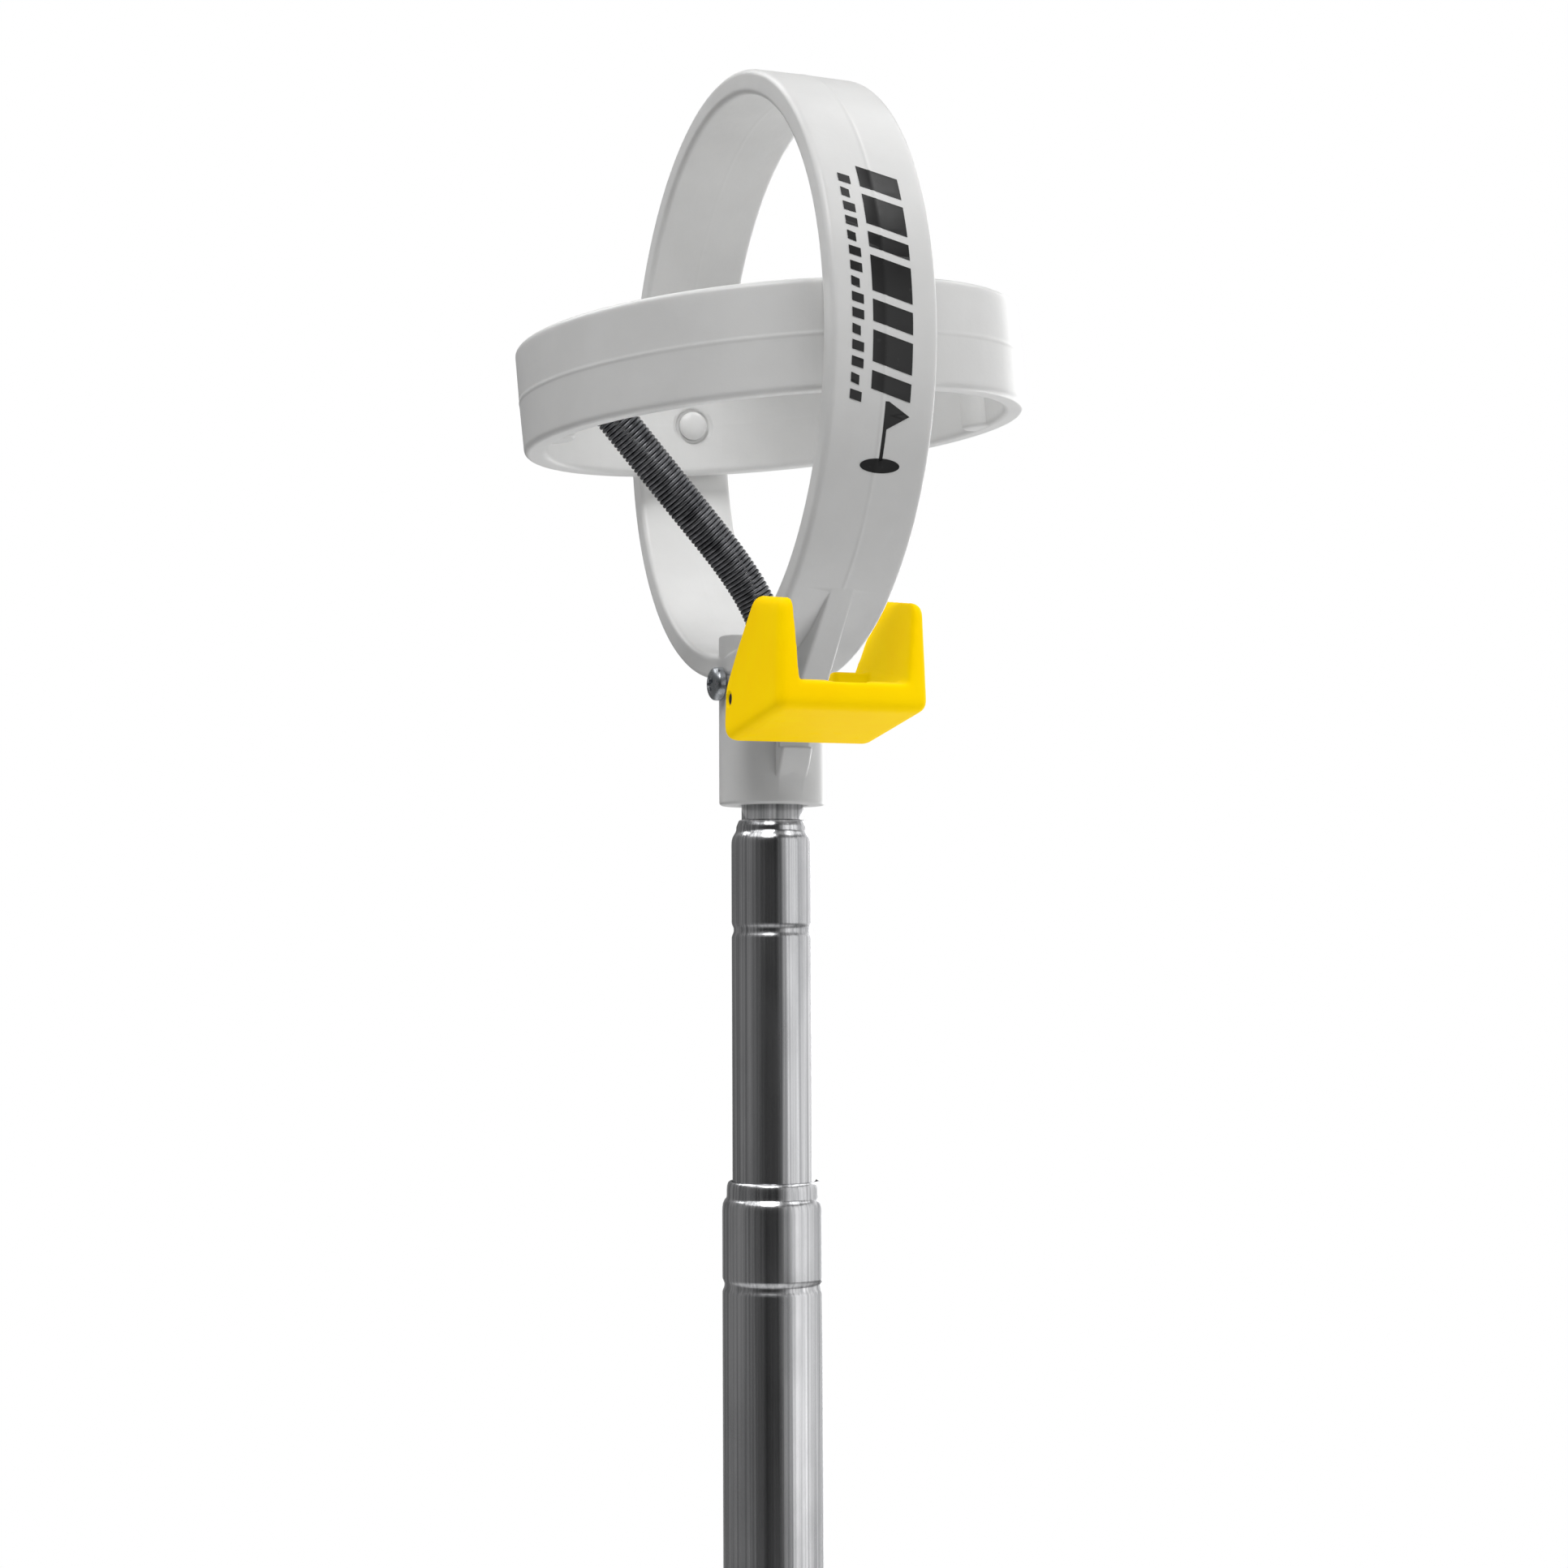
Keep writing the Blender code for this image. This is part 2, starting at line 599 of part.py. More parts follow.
def grip():
    """Tapered rubber sleeve with shallow rings round it."""
    inner = TUBE_RADII[4] + GAP
    foot_radius, top_radius, edge = 13.6 * MM, 12.0 * MM, 0.8 * MM
    ring_count, ring_slope, ring_depth = 7, 1.4 * MM, 0.7 * MM
    length = GRIP_TOP - GRIP_BOTTOM

    def outer(height):
        return foot_radius + (top_radius - foot_radius) * (height - GRIP_BOTTOM) / length

    profile = [(top_radius - edge, GRIP_TOP), (top_radius, GRIP_TOP - edge)]
    for i in range(ring_count):
        height = GRIP_TOP - length * (i + 0.5) / ring_count
        for steps, depth in ((2, 0), (1, ring_depth), (-1, ring_depth), (-2, 0)):
            level = height + steps * ring_slope
            profile.append((outer(level) - depth, level))
    profile += [(foot_radius, GRIP_BOTTOM + edge), (foot_radius - edge, GRIP_BOTTOM)]
    profile += [(inner, GRIP_BOTTOM), (inner, GRIP_TOP)]
    smooth(turned("grip", profile, GRIP_RUBBER))


def grip_collar():
    """Tapered plastic ring that finishes the grip's top edge."""
    inner = TUBE_RADII[4] + GAP
    foot = GRIP_TOP + GAP
    top = foot + COLLAR_HEIGHT
    foot_wall, shoulder_wall, lip_wall = 1.6 * MM, 1.1 * MM, 0.7 * MM
    profile = [
        (inner + lip_wall, top),
        (inner + shoulder_wall, top - 0.6 * MM),
        (inner + foot_wall, foot + 1.0 * MM),
        (inner + foot_wall, foot),
        (inner, foot),
        (inner, top),
    ]
    smooth(turned("grip_collar", profile, BLACK_PLASTIC))


clear_scene()
PARTS = new_collection("golf_ball_retriever")
CUTTERS = new_collection("cutters", hidden=True)
WHITE_NYLON = material("white_nylon", (0.84, 0.84, 0.83), 0.42)
YELLOW_NYLON = material("yellow_nylon", (0.95, 0.70, 0.01), 0.38)
STAINLESS = material("stainless_tube", (0.60, 0.60, 0.60), 0.25, 1.0)
SPRING_STEEL = material("spring_steel", (0.10, 0.10, 0.11), 0.35, 1.0)
STEEL = material("plated_steel", (0.55, 0.56, 0.58), 0.30, 1.0)
ACETAL = material("acetal_guide", (0.80, 0.80, 0.78), 0.45)
GRIP_RUBBER = material("grip_rubber", (0.025, 0.025, 0.027), 0.75)
BLACK_PLASTIC = material("black_plastic", (0.03, 0.03, 0.03), 0.45)

head_hoop()
catch_ring()
pivot_pins()
catch_spring()
spring_screw()
latch_clip()
latch_pin()
for tube in range(1, 6):
    shaft_tube(tube)
for tube in range(2, 6):
    mouth_sleeve(tube)
for tube in range(1, 5):
    friction_bush(tube)
end_plug()
butt_cap()
grip()
grip_collar()
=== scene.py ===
"""Golf ball retriever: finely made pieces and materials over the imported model."""

import json
import math
from functools import partial

import bmesh
import bpy
from mathutils import Matrix, Vector
from mathutils.geometry import interpolate_bezier


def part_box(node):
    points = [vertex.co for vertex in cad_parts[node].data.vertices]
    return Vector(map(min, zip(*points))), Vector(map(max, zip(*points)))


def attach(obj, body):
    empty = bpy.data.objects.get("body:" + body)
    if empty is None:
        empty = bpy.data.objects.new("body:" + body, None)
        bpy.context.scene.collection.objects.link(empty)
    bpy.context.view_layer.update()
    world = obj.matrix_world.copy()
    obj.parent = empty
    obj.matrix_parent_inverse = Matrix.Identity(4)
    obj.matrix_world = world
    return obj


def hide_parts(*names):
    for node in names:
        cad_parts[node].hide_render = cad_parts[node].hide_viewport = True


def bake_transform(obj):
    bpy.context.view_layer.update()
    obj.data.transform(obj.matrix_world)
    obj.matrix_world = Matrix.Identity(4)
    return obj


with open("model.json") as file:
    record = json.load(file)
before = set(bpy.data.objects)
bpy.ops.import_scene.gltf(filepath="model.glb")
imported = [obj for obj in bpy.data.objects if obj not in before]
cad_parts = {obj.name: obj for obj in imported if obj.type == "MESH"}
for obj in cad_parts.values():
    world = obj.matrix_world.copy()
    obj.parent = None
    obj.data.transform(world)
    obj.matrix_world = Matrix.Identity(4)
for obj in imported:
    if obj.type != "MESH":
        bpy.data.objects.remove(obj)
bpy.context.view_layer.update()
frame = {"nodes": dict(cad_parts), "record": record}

MM = 0.001
JOINTS = {joint["name"]: joint for joint in frame["record"]["behaviour"]["joints"]}
HEAD = Vector(JOINTS["ring_hinge"]["pos_m"])
LATCH_PIN = Vector(JOINTS["latch_hinge"]["pos_m"])
IN_HEAD = Matrix.Translation(HEAD) @ Matrix.Scale(MM, 4)  # millimetres from the ring's centre
FROM_FLOOR = Matrix.Scale(MM, 4)  # millimetres above the floor, for what is round the shaft

# Head, in millimetres from the ring's centre
HOOP_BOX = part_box("head_hoop")
HOOP_HALF_WIDTH = (HOOP_BOX[1].y - HOOP_BOX[0].y) / 2 / MM
HOOP_TOP = (HOOP_BOX[1].z - HEAD.z) / MM
HOOP_BOTTOM = 43.7
HOOP_WALL = 3.6
BAND_HALF_WIDTH = 7.75
RING_RADIUS = (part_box("catch_ring")[1].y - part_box("catch_ring")[0].y) / 2 / MM
RING_WALL = 3.4
RING_HALF_HEIGHT = 7.6
RING_REST_TILT = math.radians(5.5)
SOCKET_RADIUS = 7.75
SOCKET_TOP = -36.6
SOCKET_BOTTOM = (HOOP_BOX[0].z - HEAD.z) / MM
RING_SWEEP_RADIUS = 38.3
PIVOT_RADIUS = 1.5
PIVOT_HEAD_RADIUS = 2.2
PIVOT_RECESS = (2.8, 0.5)  # radius and depth
SPRING_RADIUS = 2.8
SPRING_WIRE_RADIUS = 0.325
SPRING_BOTTOM = (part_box("catch_spring")[0].z - HEAD.z) / MM
SCREW_HEIGHT = -44.5
WEB_TOP, WEB_THICKNESS, WEB_DRAFT = -33.0, 3.9, -0.010
LATCH_FLOOR, LATCH_WIDTH, LATCH_SLOT_WIDTH = -46.0, 21.8, 16.2
PIN_Y, PIN_Z = (LATCH_PIN.y - HEAD.y) / MM, (LATCH_PIN.z - HEAD.z) / MM
BAND_STEPS = 288  # points round the hoop and the ring
BAND_ROUNDING, BAND_RIDGE = 0.85, (0.2, 0.05)  # edge radius; parting line's half width, height
HOLE_CLEARANCE = 0.3

# Shaft
TUBE_RADII = {number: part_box(f"tube_{number}")[1].x / MM for number in range(1, 6)}
TUBE_BODIES = {1: "head", 2: "stage_2", 3: "stage_3", 4: "stage_4", 5: "handle"}
TUBE_WALL = 0.5
CRIMP_BELOW_MOUTH = {2: 16.0, 3: 14.8, 4: 14.8, 5: 14.8}

# Handle
GRIP_FOOT_RADIUS, GRIP_TOP_RADIUS, GRIP_GROOVES = 13.6, 12.0, 7
GRIP_BORE = TUBE_RADII[5] + 0.3

# Studio
SOFTBOX_DISTANCE = 0.95  # metres from the head
DARK_SIDE = (-0.37, -0.93, 0.0)  # the direction in which the room is darkest


# Tools


def srgb(code):
    """Linear colour of a six-digit hex code."""
    parts = [int(code[i : i + 2], 16) / 255 for i in (1, 3, 5)]
    return (*[c / 12.92 if c <= 0.04045 else ((c + 0.055) / 1.055) ** 2.4 for c in parts], 1.0)


def connect(node, **inputs):
    """Sets inputs by name, or by number as in0. One given as a socket is linked."""
    for name, value in inputs.items():
        key = name.replace("_", " ")
        socket = node.inputs[int(key[2:]) if key.startswith("in") and key[2:].isdigit() else key]
        if isinstance(value, bpy.types.NodeSocket):
            node.id_data.links.new(value, socket)
        elif value is not None:
            socket.default_value = value


def add_node(tree, kind, settings=None, stops=(), **inputs):
    """Adds a node with its settings, colour stops and inputs, and returns its first live output."""
    node = tree.nodes.new(kind)
    for name, value in (settings or {}).items():
        setattr(node, name, value)
    for number, (place, shade) in enumerate(stops):
        if number == len(node.color_ramp.elements):
            node.color_ramp.elements.new(1.0)
        node.color_ramp.elements[number].position = place
        node.color_ramp.elements[number].color = (shade, shade, shade, 1.0)
    connect(node, **inputs)
    return next((out for out in node.outputs if out.enabled), node)


def new_material(name, edge=0.0):
    """A material, its node adder, its shader, object coordinates, and a normal with soft edges."""
    made = bpy.data.materials.new(name)
    made.use_nodes = True
    add = partial(add_node, made.node_tree)
    place = add("ShaderNodeTexCoord").node.outputs["Object"]
    normal = add("ShaderNodeBevel", {"samples": 6}, Radius=edge * MM) if edge else None
    return made, add, made.node_tree.nodes["Principled BSDF"], place, normal


# Materials

MIX, RAMP, NOISE = "ShaderNodeMix", "ShaderNodeValToRGB", "ShaderNodeTexNoise"
SPREAD, STRETCH, CELLS = "ShaderNodeMapRange", "ShaderNodeMapping", "ShaderNodeTexVoronoi"
BUMP, MATH, VECTOR_MATH = "ShaderNodeBump", "ShaderNodeMath", "ShaderNodeVectorMath"
COLOURS = {"data_type": "RGBA"}
SUM_OF_SCALED = {"operation": "MULTIPLY_ADD"}
GRAIN = 0.55  # how strongly each finer layer of a noise shows


def moulded_plastic(name, light, dark, roughness, edge, subsurface):
    """Injection-moulded nylon: satin, slightly cloudy, with a fine peel, faint flow lines from
    the gate, rare dark specks and duller scuffs."""
    made, add, shader, place, normal = new_material(name, edge)
    cloud = add(NOISE, Vector=place, Scale=1 / (14 * MM), Detail=3, Roughness=GRAIN)
    shade = add(RAMP, stops=((0.35, 0.0), (0.7, 1.0)), Fac=cloud)
    tone = add(MIX, COLOURS, in0=shade, in6=srgb(light), in7=srgb(dark))
    cell = add(CELLS, Vector=place, Scale=1 / (9 * MM))
    dot = add(RAMP, stops=((0.0, 1.0), (0.022, 1.0), (0.032, 0.0)), Fac=cell)
    chance = cell.node.outputs["Color"]
    rare = add(RAMP, stops=((0.0, 0.0), (0.78, 0.0), (0.8, 0.55)), Fac=chance)
    marks = add(MIX, COLOURS | {"blend_type": "MULTIPLY"}, in0=1.0, in6=dot, in7=rare)
    grimy = add(MIX, COLOURS, in0=marks, in6=tone, in7=srgb("#3c3a36"))
    # Real peel is about 0.2 mm across, and is drawn coarser so that it shows
    peel = add(NOISE, Vector=place, Scale=1 / (0.9 * MM), Detail=2, Roughness=GRAIN)
    along = add(STRETCH, Vector=place, Scale=(1, 1, 0.16))
    flow = add(NOISE, Vector=along, Scale=1 / (3.5 * MM), Detail=2, Roughness=GRAIN)
    height = add(MATH, SUM_OF_SCALED, in0=flow, in1=2.2, in2=peel)
    scuff = add(NOISE, Vector=place, Scale=1 / (2.2 * MM), Detail=6, Roughness=GRAIN)
    worn = add(RAMP, stops=((0.60, 0.0), (0.68, 1.0)), Fac=scuff)
    rough = add(SPREAD, in0=worn, in3=roughness, in4=roughness + 0.14)
    bump = add(BUMP, Height=height, Distance=0.016 * MM, Normal=normal)
    connect(shader, Base_Color=grimy, Roughness=rough, Normal=bump)
    connect(shader, Specular_IOR_Level=0.5, Subsurface_Weight=subsurface)
    connect(shader, Subsurface_Radius=(1.0, 0.9, 0.8), Subsurface_Scale=1.2 * MM)
    return made


def yellow_nylon():
    """Nylon with a strong yellow pigment and soft sheen, with painted light: a glow that brightens
    it.
    """
    made = moulded_plastic("yellow_nylon", "#ffd800", "#fbcd00", 0.5, 0.3, 0.0)
    shader = made.node_tree.nodes["Principled BSDF"]
    # Painted light: an emission lifts the clip's yellow everywhere, most plainly where it is in
    # shade
    connect(shader, Emission_Color=srgb("#ffd500"), Emission_Strength=0.36)
    connect(shader, Specular_IOR_Level=0.03)
    return made


def stainless_tube():
    """Drawn and polished stainless steel: bright, with fine lines along it, slightly wavy
    reflections and duller patches where it is handled."""
    made, add, shader, place, _ = new_material("stainless_tube")
    # Real drawing lines are about 0.05 mm wide, and are drawn coarser so that they show
    fine = add(STRETCH, Vector=place, Scale=(1, 1, 0.004))
    lines = add(NOISE, Vector=fine, Scale=1 / (0.45 * MM), Detail=1.5, Roughness=GRAIN)
    broad = add(STRETCH, Vector=place, Scale=(1, 1, 0.008))
    bands = add(NOISE, Vector=broad, Scale=1 / (1.6 * MM), Detail=2, Roughness=GRAIN)
    patchy = add(STRETCH, Vector=place, Scale=(1, 1, 0.35))
    smear = add(NOISE, Vector=patchy, Scale=1 / (6.0 * MM), Detail=4, Roughness=GRAIN)
    both = add(MIX, COLOURS, in0=0.45, in6=lines, in7=bands)
    streak = add(RAMP, stops=((0.36, 0.0), (0.62, 1.0)), Fac=both)
    tint = add(MIX, COLOURS, in0=streak, in6=srgb("#a6a7a9"), in7=srgb("#eeeef0"))
    handled = add(RAMP, stops=((0.45, 0.0), (0.75, 0.3)), Fac=smear)
    dulled = add(MIX, COLOURS, in0=handled, in6=tint, in7=srgb("#858688"))
    rough = add(MATH, SUM_OF_SCALED, in0=smear, in1=0.16, in2=0.17)
    height = add(MATH, SUM_OF_SCALED, in0=bands, in1=2.0, in2=lines)
    bump = add(BUMP, Height=height, Distance=0.009 * MM)
    connect(shader, Base_Color=dulled, Metallic=1.0, Roughness=rough, Normal=bump)
    return made


def spring_steel():
    """Oil-hardened spring wire: dark grey, satin, with paler rubbed places and a drawn grain."""
    made, add, shader, place, _ = new_material("spring_steel")
    stain = add(NOISE, Vector=place, Scale=1 / (1.6 * MM), Detail=4, Roughness=GRAIN)
    rubbed = add(RAMP, stops=((0.35, 0.0), (0.7, 1.0)), Fac=stain)
    tone = add(MIX, COLOURS, in0=rubbed, in6=srgb("#505154"), in7=srgb("#808184"))
    rough = add(SPREAD, in0=stain, in3=0.34, in4=0.5)
    grain = add(NOISE, Vector=place, Scale=1 / (0.12 * MM), Detail=2, Roughness=GRAIN)
    bump = add(BUMP, Height=grain, Distance=0.004 * MM)
    connect(shader, Base_Color=tone, Metallic=1.0, Roughness=rough, Normal=bump)
    return made


def plated_steel():
    """Bright zinc plate: a clean bluish metal with a cloudy, duller bloom."""
    made, add, shader, place, normal = new_material("plated_steel", 0.12)
    bloom = add(NOISE, Vector=place, Scale=1 / (0.8 * MM), Detail=4, Roughness=GRAIN)
    tone = add(MIX, COLOURS, in0=bloom, in6=srgb("#c3c6ca"), in7=srgb("#8f9398"))
    rough = add(SPREAD, in0=bloom, in3=0.18, in4=0.4)
    bump = add(BUMP, Height=bloom, Distance=0.01 * MM, Normal=normal)
    connect(shader, Base_Color=tone, Metallic=1.0, Roughness=rough, Normal=bump)
    return made


def blackened_steel():
    """Black oxide on a cut pin: dull and uneven, with no metal shine left."""
    made, add, shader, place, normal = new_material("blackened_steel", 0.12)
    oxide = add(NOISE, Vector=place, Scale=1 / (0.5 * MM), Detail=4, Roughness=GRAIN)
    tone = add(MIX, COLOURS, in0=oxide, in6=srgb("#141313"), in7=srgb("#2a2826"))
    rough = add(SPREAD, in0=oxide, in3=0.5, in4=0.7)
    bump = add(BUMP, Height=oxide, Distance=0.01 * MM, Normal=normal)
    connect(shader, Base_Color=tone, Roughness=rough, Normal=bump)
    return made


def acetal_guide():
    """Turned acetal: waxy off-white, with turning lines and grey dust rubbed off the steel."""
    made, add, shader, place, normal = new_material("acetal_guide", 0.15)
    along = add(STRETCH, Vector=place, Scale=(1, 1, 0.15))
    rub = add(NOISE, Vector=along, Scale=1 / (2.5 * MM), Detail=4, Roughness=GRAIN)
    dust = add(RAMP, stops=((0.55, 0.0), (0.8, 0.5)), Fac=rub)
    tone = add(MIX, COLOURS, in0=dust, in6=srgb("#e3e2dc"), in7=srgb("#77766f"))
    rough = add(SPREAD, in0=rub, in3=0.36, in4=0.5)
    # Real turning lines are about 0.1 mm apart. These come 1.3 mm apart, so that they show
    upright = {"bands_direction": "Z"}
    turned = add("ShaderNodeTexWave", upright, Vector=place, Scale=1 / (4 * MM), Distortion=0.4)
    lines = turned.node.outputs["Fac"]
    bump = add(BUMP, Height=lines, Distance=0.008 * MM, Normal=normal)
    connect(shader, Base_Color=tone, Roughness=rough, Normal=bump)
    return made


def grip_rubber():
    """Moulded black rubber: matt, with a fine cast grain and paler patches where palms rub it."""
    made, add, shader, place, normal = new_material("grip_rubber", 0.3)
    dust = add(NOISE, Vector=place, Scale=1 / (16 * MM), Detail=6, Roughness=GRAIN)
    patches = add(RAMP, stops=((0.4, 0.0), (0.75, 1.0)), Fac=dust)
    tone = add(MIX, COLOURS, in0=patches, in6=srgb("#232324"), in7=srgb("#39393a"))
    rough = add(SPREAD, in0=dust, in3=0.62, in4=0.82)
    grain = add(CELLS, Vector=place, Scale=1 / (0.5 * MM))
    bump = add(BUMP, Height=grain, Distance=0.05 * MM, Normal=normal)
    connect(shader, Base_Color=tone, Roughness=rough, Normal=bump)
    return made


def black_plastic():
    """Moulded ABS from a spark-eroded tool: satin black, faintly pebbled, scuffed along it."""
    made, add, shader, place, normal = new_material("black_plastic", 0.25)
    along = add(STRETCH, Vector=place, Scale=(1, 1, 0.5))
    wear = add(NOISE, Vector=along, Scale=1 / (5 * MM), Detail=6, Roughness=GRAIN)
    scuffed = add(RAMP, stops=((0.5, 0.0), (0.72, 1.0)), Fac=wear)
    tone = add(MIX, COLOURS, in0=scuffed, in6=srgb("#202021"), in7=srgb("#333335"))
    rough = add(SPREAD, in0=wear, in3=0.36, in4=0.56)
    pebble = add(NOISE, Vector=place, Scale=1 / (0.3 * MM), Detail=3, Roughness=GRAIN)
    bump = add(BUMP, Height=pebble, Distance=0.03 * MM, Normal=normal)
    connect(shader, Base_Color=tone, Roughness=rough, Normal=bump)
    return made


def printing_ink():
    """Pad-printed ink: slightly glossy black, with thin, paler places."""
    made, add, shader, place, _ = new_material("printing_ink")
    layer = add(NOISE, Vector=place, Scale=1 / (1.4 * MM), Detail=5, Roughness=GRAIN)
    thin = add(RAMP, stops=((0.64, 0.0), (0.74, 0.4)), Fac=layer)
    tone = add(MIX, COLOURS, in0=thin, in6=srgb("#0e0e0f"), in7=srgb("#3c3c3d"))
    rough = add(SPREAD, in0=layer, in3=0.25, in4=0.42)
    connect(shader, Base_Color=tone, Roughness=rough)
    return made


# Shapes


def to_object(name, shape, material, place=None):
    """A smooth-shaded object at the origin from a bmesh, whose points are moved by place."""
    if place:
        bmesh.ops.transform(shape, matrix=place, verts=shape.verts)
    bmesh.ops.recalc_face_normals(shape, faces=shape.faces)
    mesh = bpy.data.meshes.new(name)
    shape.to_mesh(mesh)
    shape.free()
    obj = bpy.data.objects.new(name, mesh)
    bpy.context.scene.collection.objects.link(obj)
    mesh.materials.append(material)
    mesh.shade_smooth()
    return obj


def sharpen(obj, degrees=38):
    """Marks the edges that turn more than an angle as sharp."""
    obj.data.set_sharp_from_angle(angle=math.radians(degrees))
    return obj


def settled(obj):
    """Works out an object's modifiers into a plain mesh."""
    graph = bpy.context.evaluated_depsgraph_get()
    mesh = bpy.data.meshes.new_from_object(obj.evaluated_get(graph), depsgraph=graph)
    if obj.type == "MESH":
        old = obj.data
        obj.modifiers.clear()
        obj.data = mesh
        bpy.data.meshes.remove(old)
        return obj
    made = bpy.data.objects.new(obj.name, mesh)
    name = obj.name
    bpy.context.scene.collection.objects.link(made)
    bpy.data.objects.remove(obj, do_unlink=True)
    made.name = name
    return made


def rounded(obj, width, segments, degrees):
    """Rounds the edges that turn more than an angle."""
    step = obj.modifiers.new("Rounded edges", "BEVEL")
    step.width, step.segments = width * MM, segments
    step.limit_method, step.angle_limit = "ANGLE", math.radians(degrees)
    step.use_clamp_overlap = False
    return settled(obj)


def crisp(obj):
    """Marks sharp edges and lets the large faces set the shading."""
    sharpen(obj)
    step = obj.modifiers.new("Face shading", "WEIGHTED_NORMAL")
    step.keep_sharp, step.mode, step.weight = True, "FACE_AREA", 50
    return settled(obj)


def combined(obj, operation, *others):
    """Joins other solids to an object, or cuts them from it, and uses them up."""
    for other in others:
        step = obj.modifiers.new(other.name, "BOOLEAN")
        step.operation, step.solver, step.object = operation, "EXACT", other
    obj = settled(obj)
    for other in others:
        bpy.data.objects.remove(other, do_unlink=True)
    return obj


def loops(shape, rings, closed=True):
    """Faces between rings of points that run one after another."""
    made = [[shape.verts.new(point) for point in ring] for ring in rings]
    count = len(made[0])
    for i in range(len(made) if closed else len(made) - 1):
        here, after = made[i], made[(i + 1) % len(made)]
        for j in range(count):
            k = (j + 1) % count
            shape.faces.new((here[j], here[k], after[k], after[j]))
    return made


def lathe(name, profile, material, steps=96, place=None, solid=False):
    """Turns (radius, height) points about Z. A solid's profile starts and ends on the axis."""
    shape = bmesh.new()
    turns = [math.tau * i / steps for i in range(steps)]
    rings = [[(r * math.cos(a), r * math.sin(a), height) for a in turns] for r, height in profile]
    made = loops(shape, rings, closed=not solid)
    if solid:
        shape.faces.new(made[0])
        shape.faces.new(made[-1])
    return to_object(name, shape, material, place)


def corner(centre, radius, start, end, steps=5):
    """Points along an arc, with angles in degrees."""
    turns = [math.radians(start + (end - start) * i / steps) for i in range(steps + 1)]
    return [(centre[0] + radius * math.cos(a), centre[1] + radius * math.sin(a)) for a in turns]


def prism(name, outline, half_width, material, place=IN_HEAD, height=0.0, draft=0.0):
    """A plate across X from (y, z) points, wider with height by the draft's share for each mm."""
    shape = bmesh.new()
    half = [half_width * (1 + draft * (z - height)) for _, z in outline]
    ends = [[(side * x, y, z) for x, (y, z) in zip(half, outline)] for side in (-1, 1)]
    made = loops(shape, ends, closed=False)
    for end in made:
        shape.faces.new(end)
    return to_object(name, shape, material, place)


def rod(name, radius, start, end, material, place=IN_HEAD, steps=32):
    """A plain rod between two points, for cutting."""
    start, end = Vector(start), Vector(end)
    turn = Vector((0, 0, 1)).rotation_difference(end - start).to_matrix().to_4x4()
    local = place @ Matrix.Translation(start) @ turn
    profile = [(radius, 0), (radius, (end - start).length)]
    return lathe(name, profile, material, steps, local, solid=True)


def band_section(half_width, wall, rounding, ridge):
    """(across, outward) points round a band with rounded edges. Its outer halves are drafted to
    a raised parting line."""
    draft = 0.05
    half, ridge_height = ridge
    edge = half_width - rounding
    right = corner((edge, wall - draft - rounding), rounding, 0, 90)
    right += [(edge - 0.4, wall - draft), (half * 2.4, wall), (half * 1.3, wall)]
    right += [(half, wall + ridge_height * 0.6), (half * 0.4, wall + ridge_height)]
    left = [(-across, out) for across, out in reversed(right)]
    below = corner((-edge, rounding), rounding, 180, 270) + [(0.4 - edge, 0.0), (-0.5, 0.0)]
    below += [(-0.15, -0.05), (0.15, -0.05), (0.5, 0.0), (edge - 0.4, 0.0)]
    return right + left + below + corner((edge, rounding), rounding, 270, 360)


# Head


def hoop_points(angle):
    """Inner and outer (y, z) points of the hoop at an angle round it."""
    cosine, sine = math.cos(angle), math.sin(angle)
    height = HOOP_TOP if sine > 0 else HOOP_BOTTOM
    outer = Vector((HOOP_HALF_WIDTH * cosine, height * sine))
    inner = Vector(((HOOP_HALF_WIDTH - HOOP_WALL) * cosine, (height - HOOP_WALL) * sine))
    return inner, outer


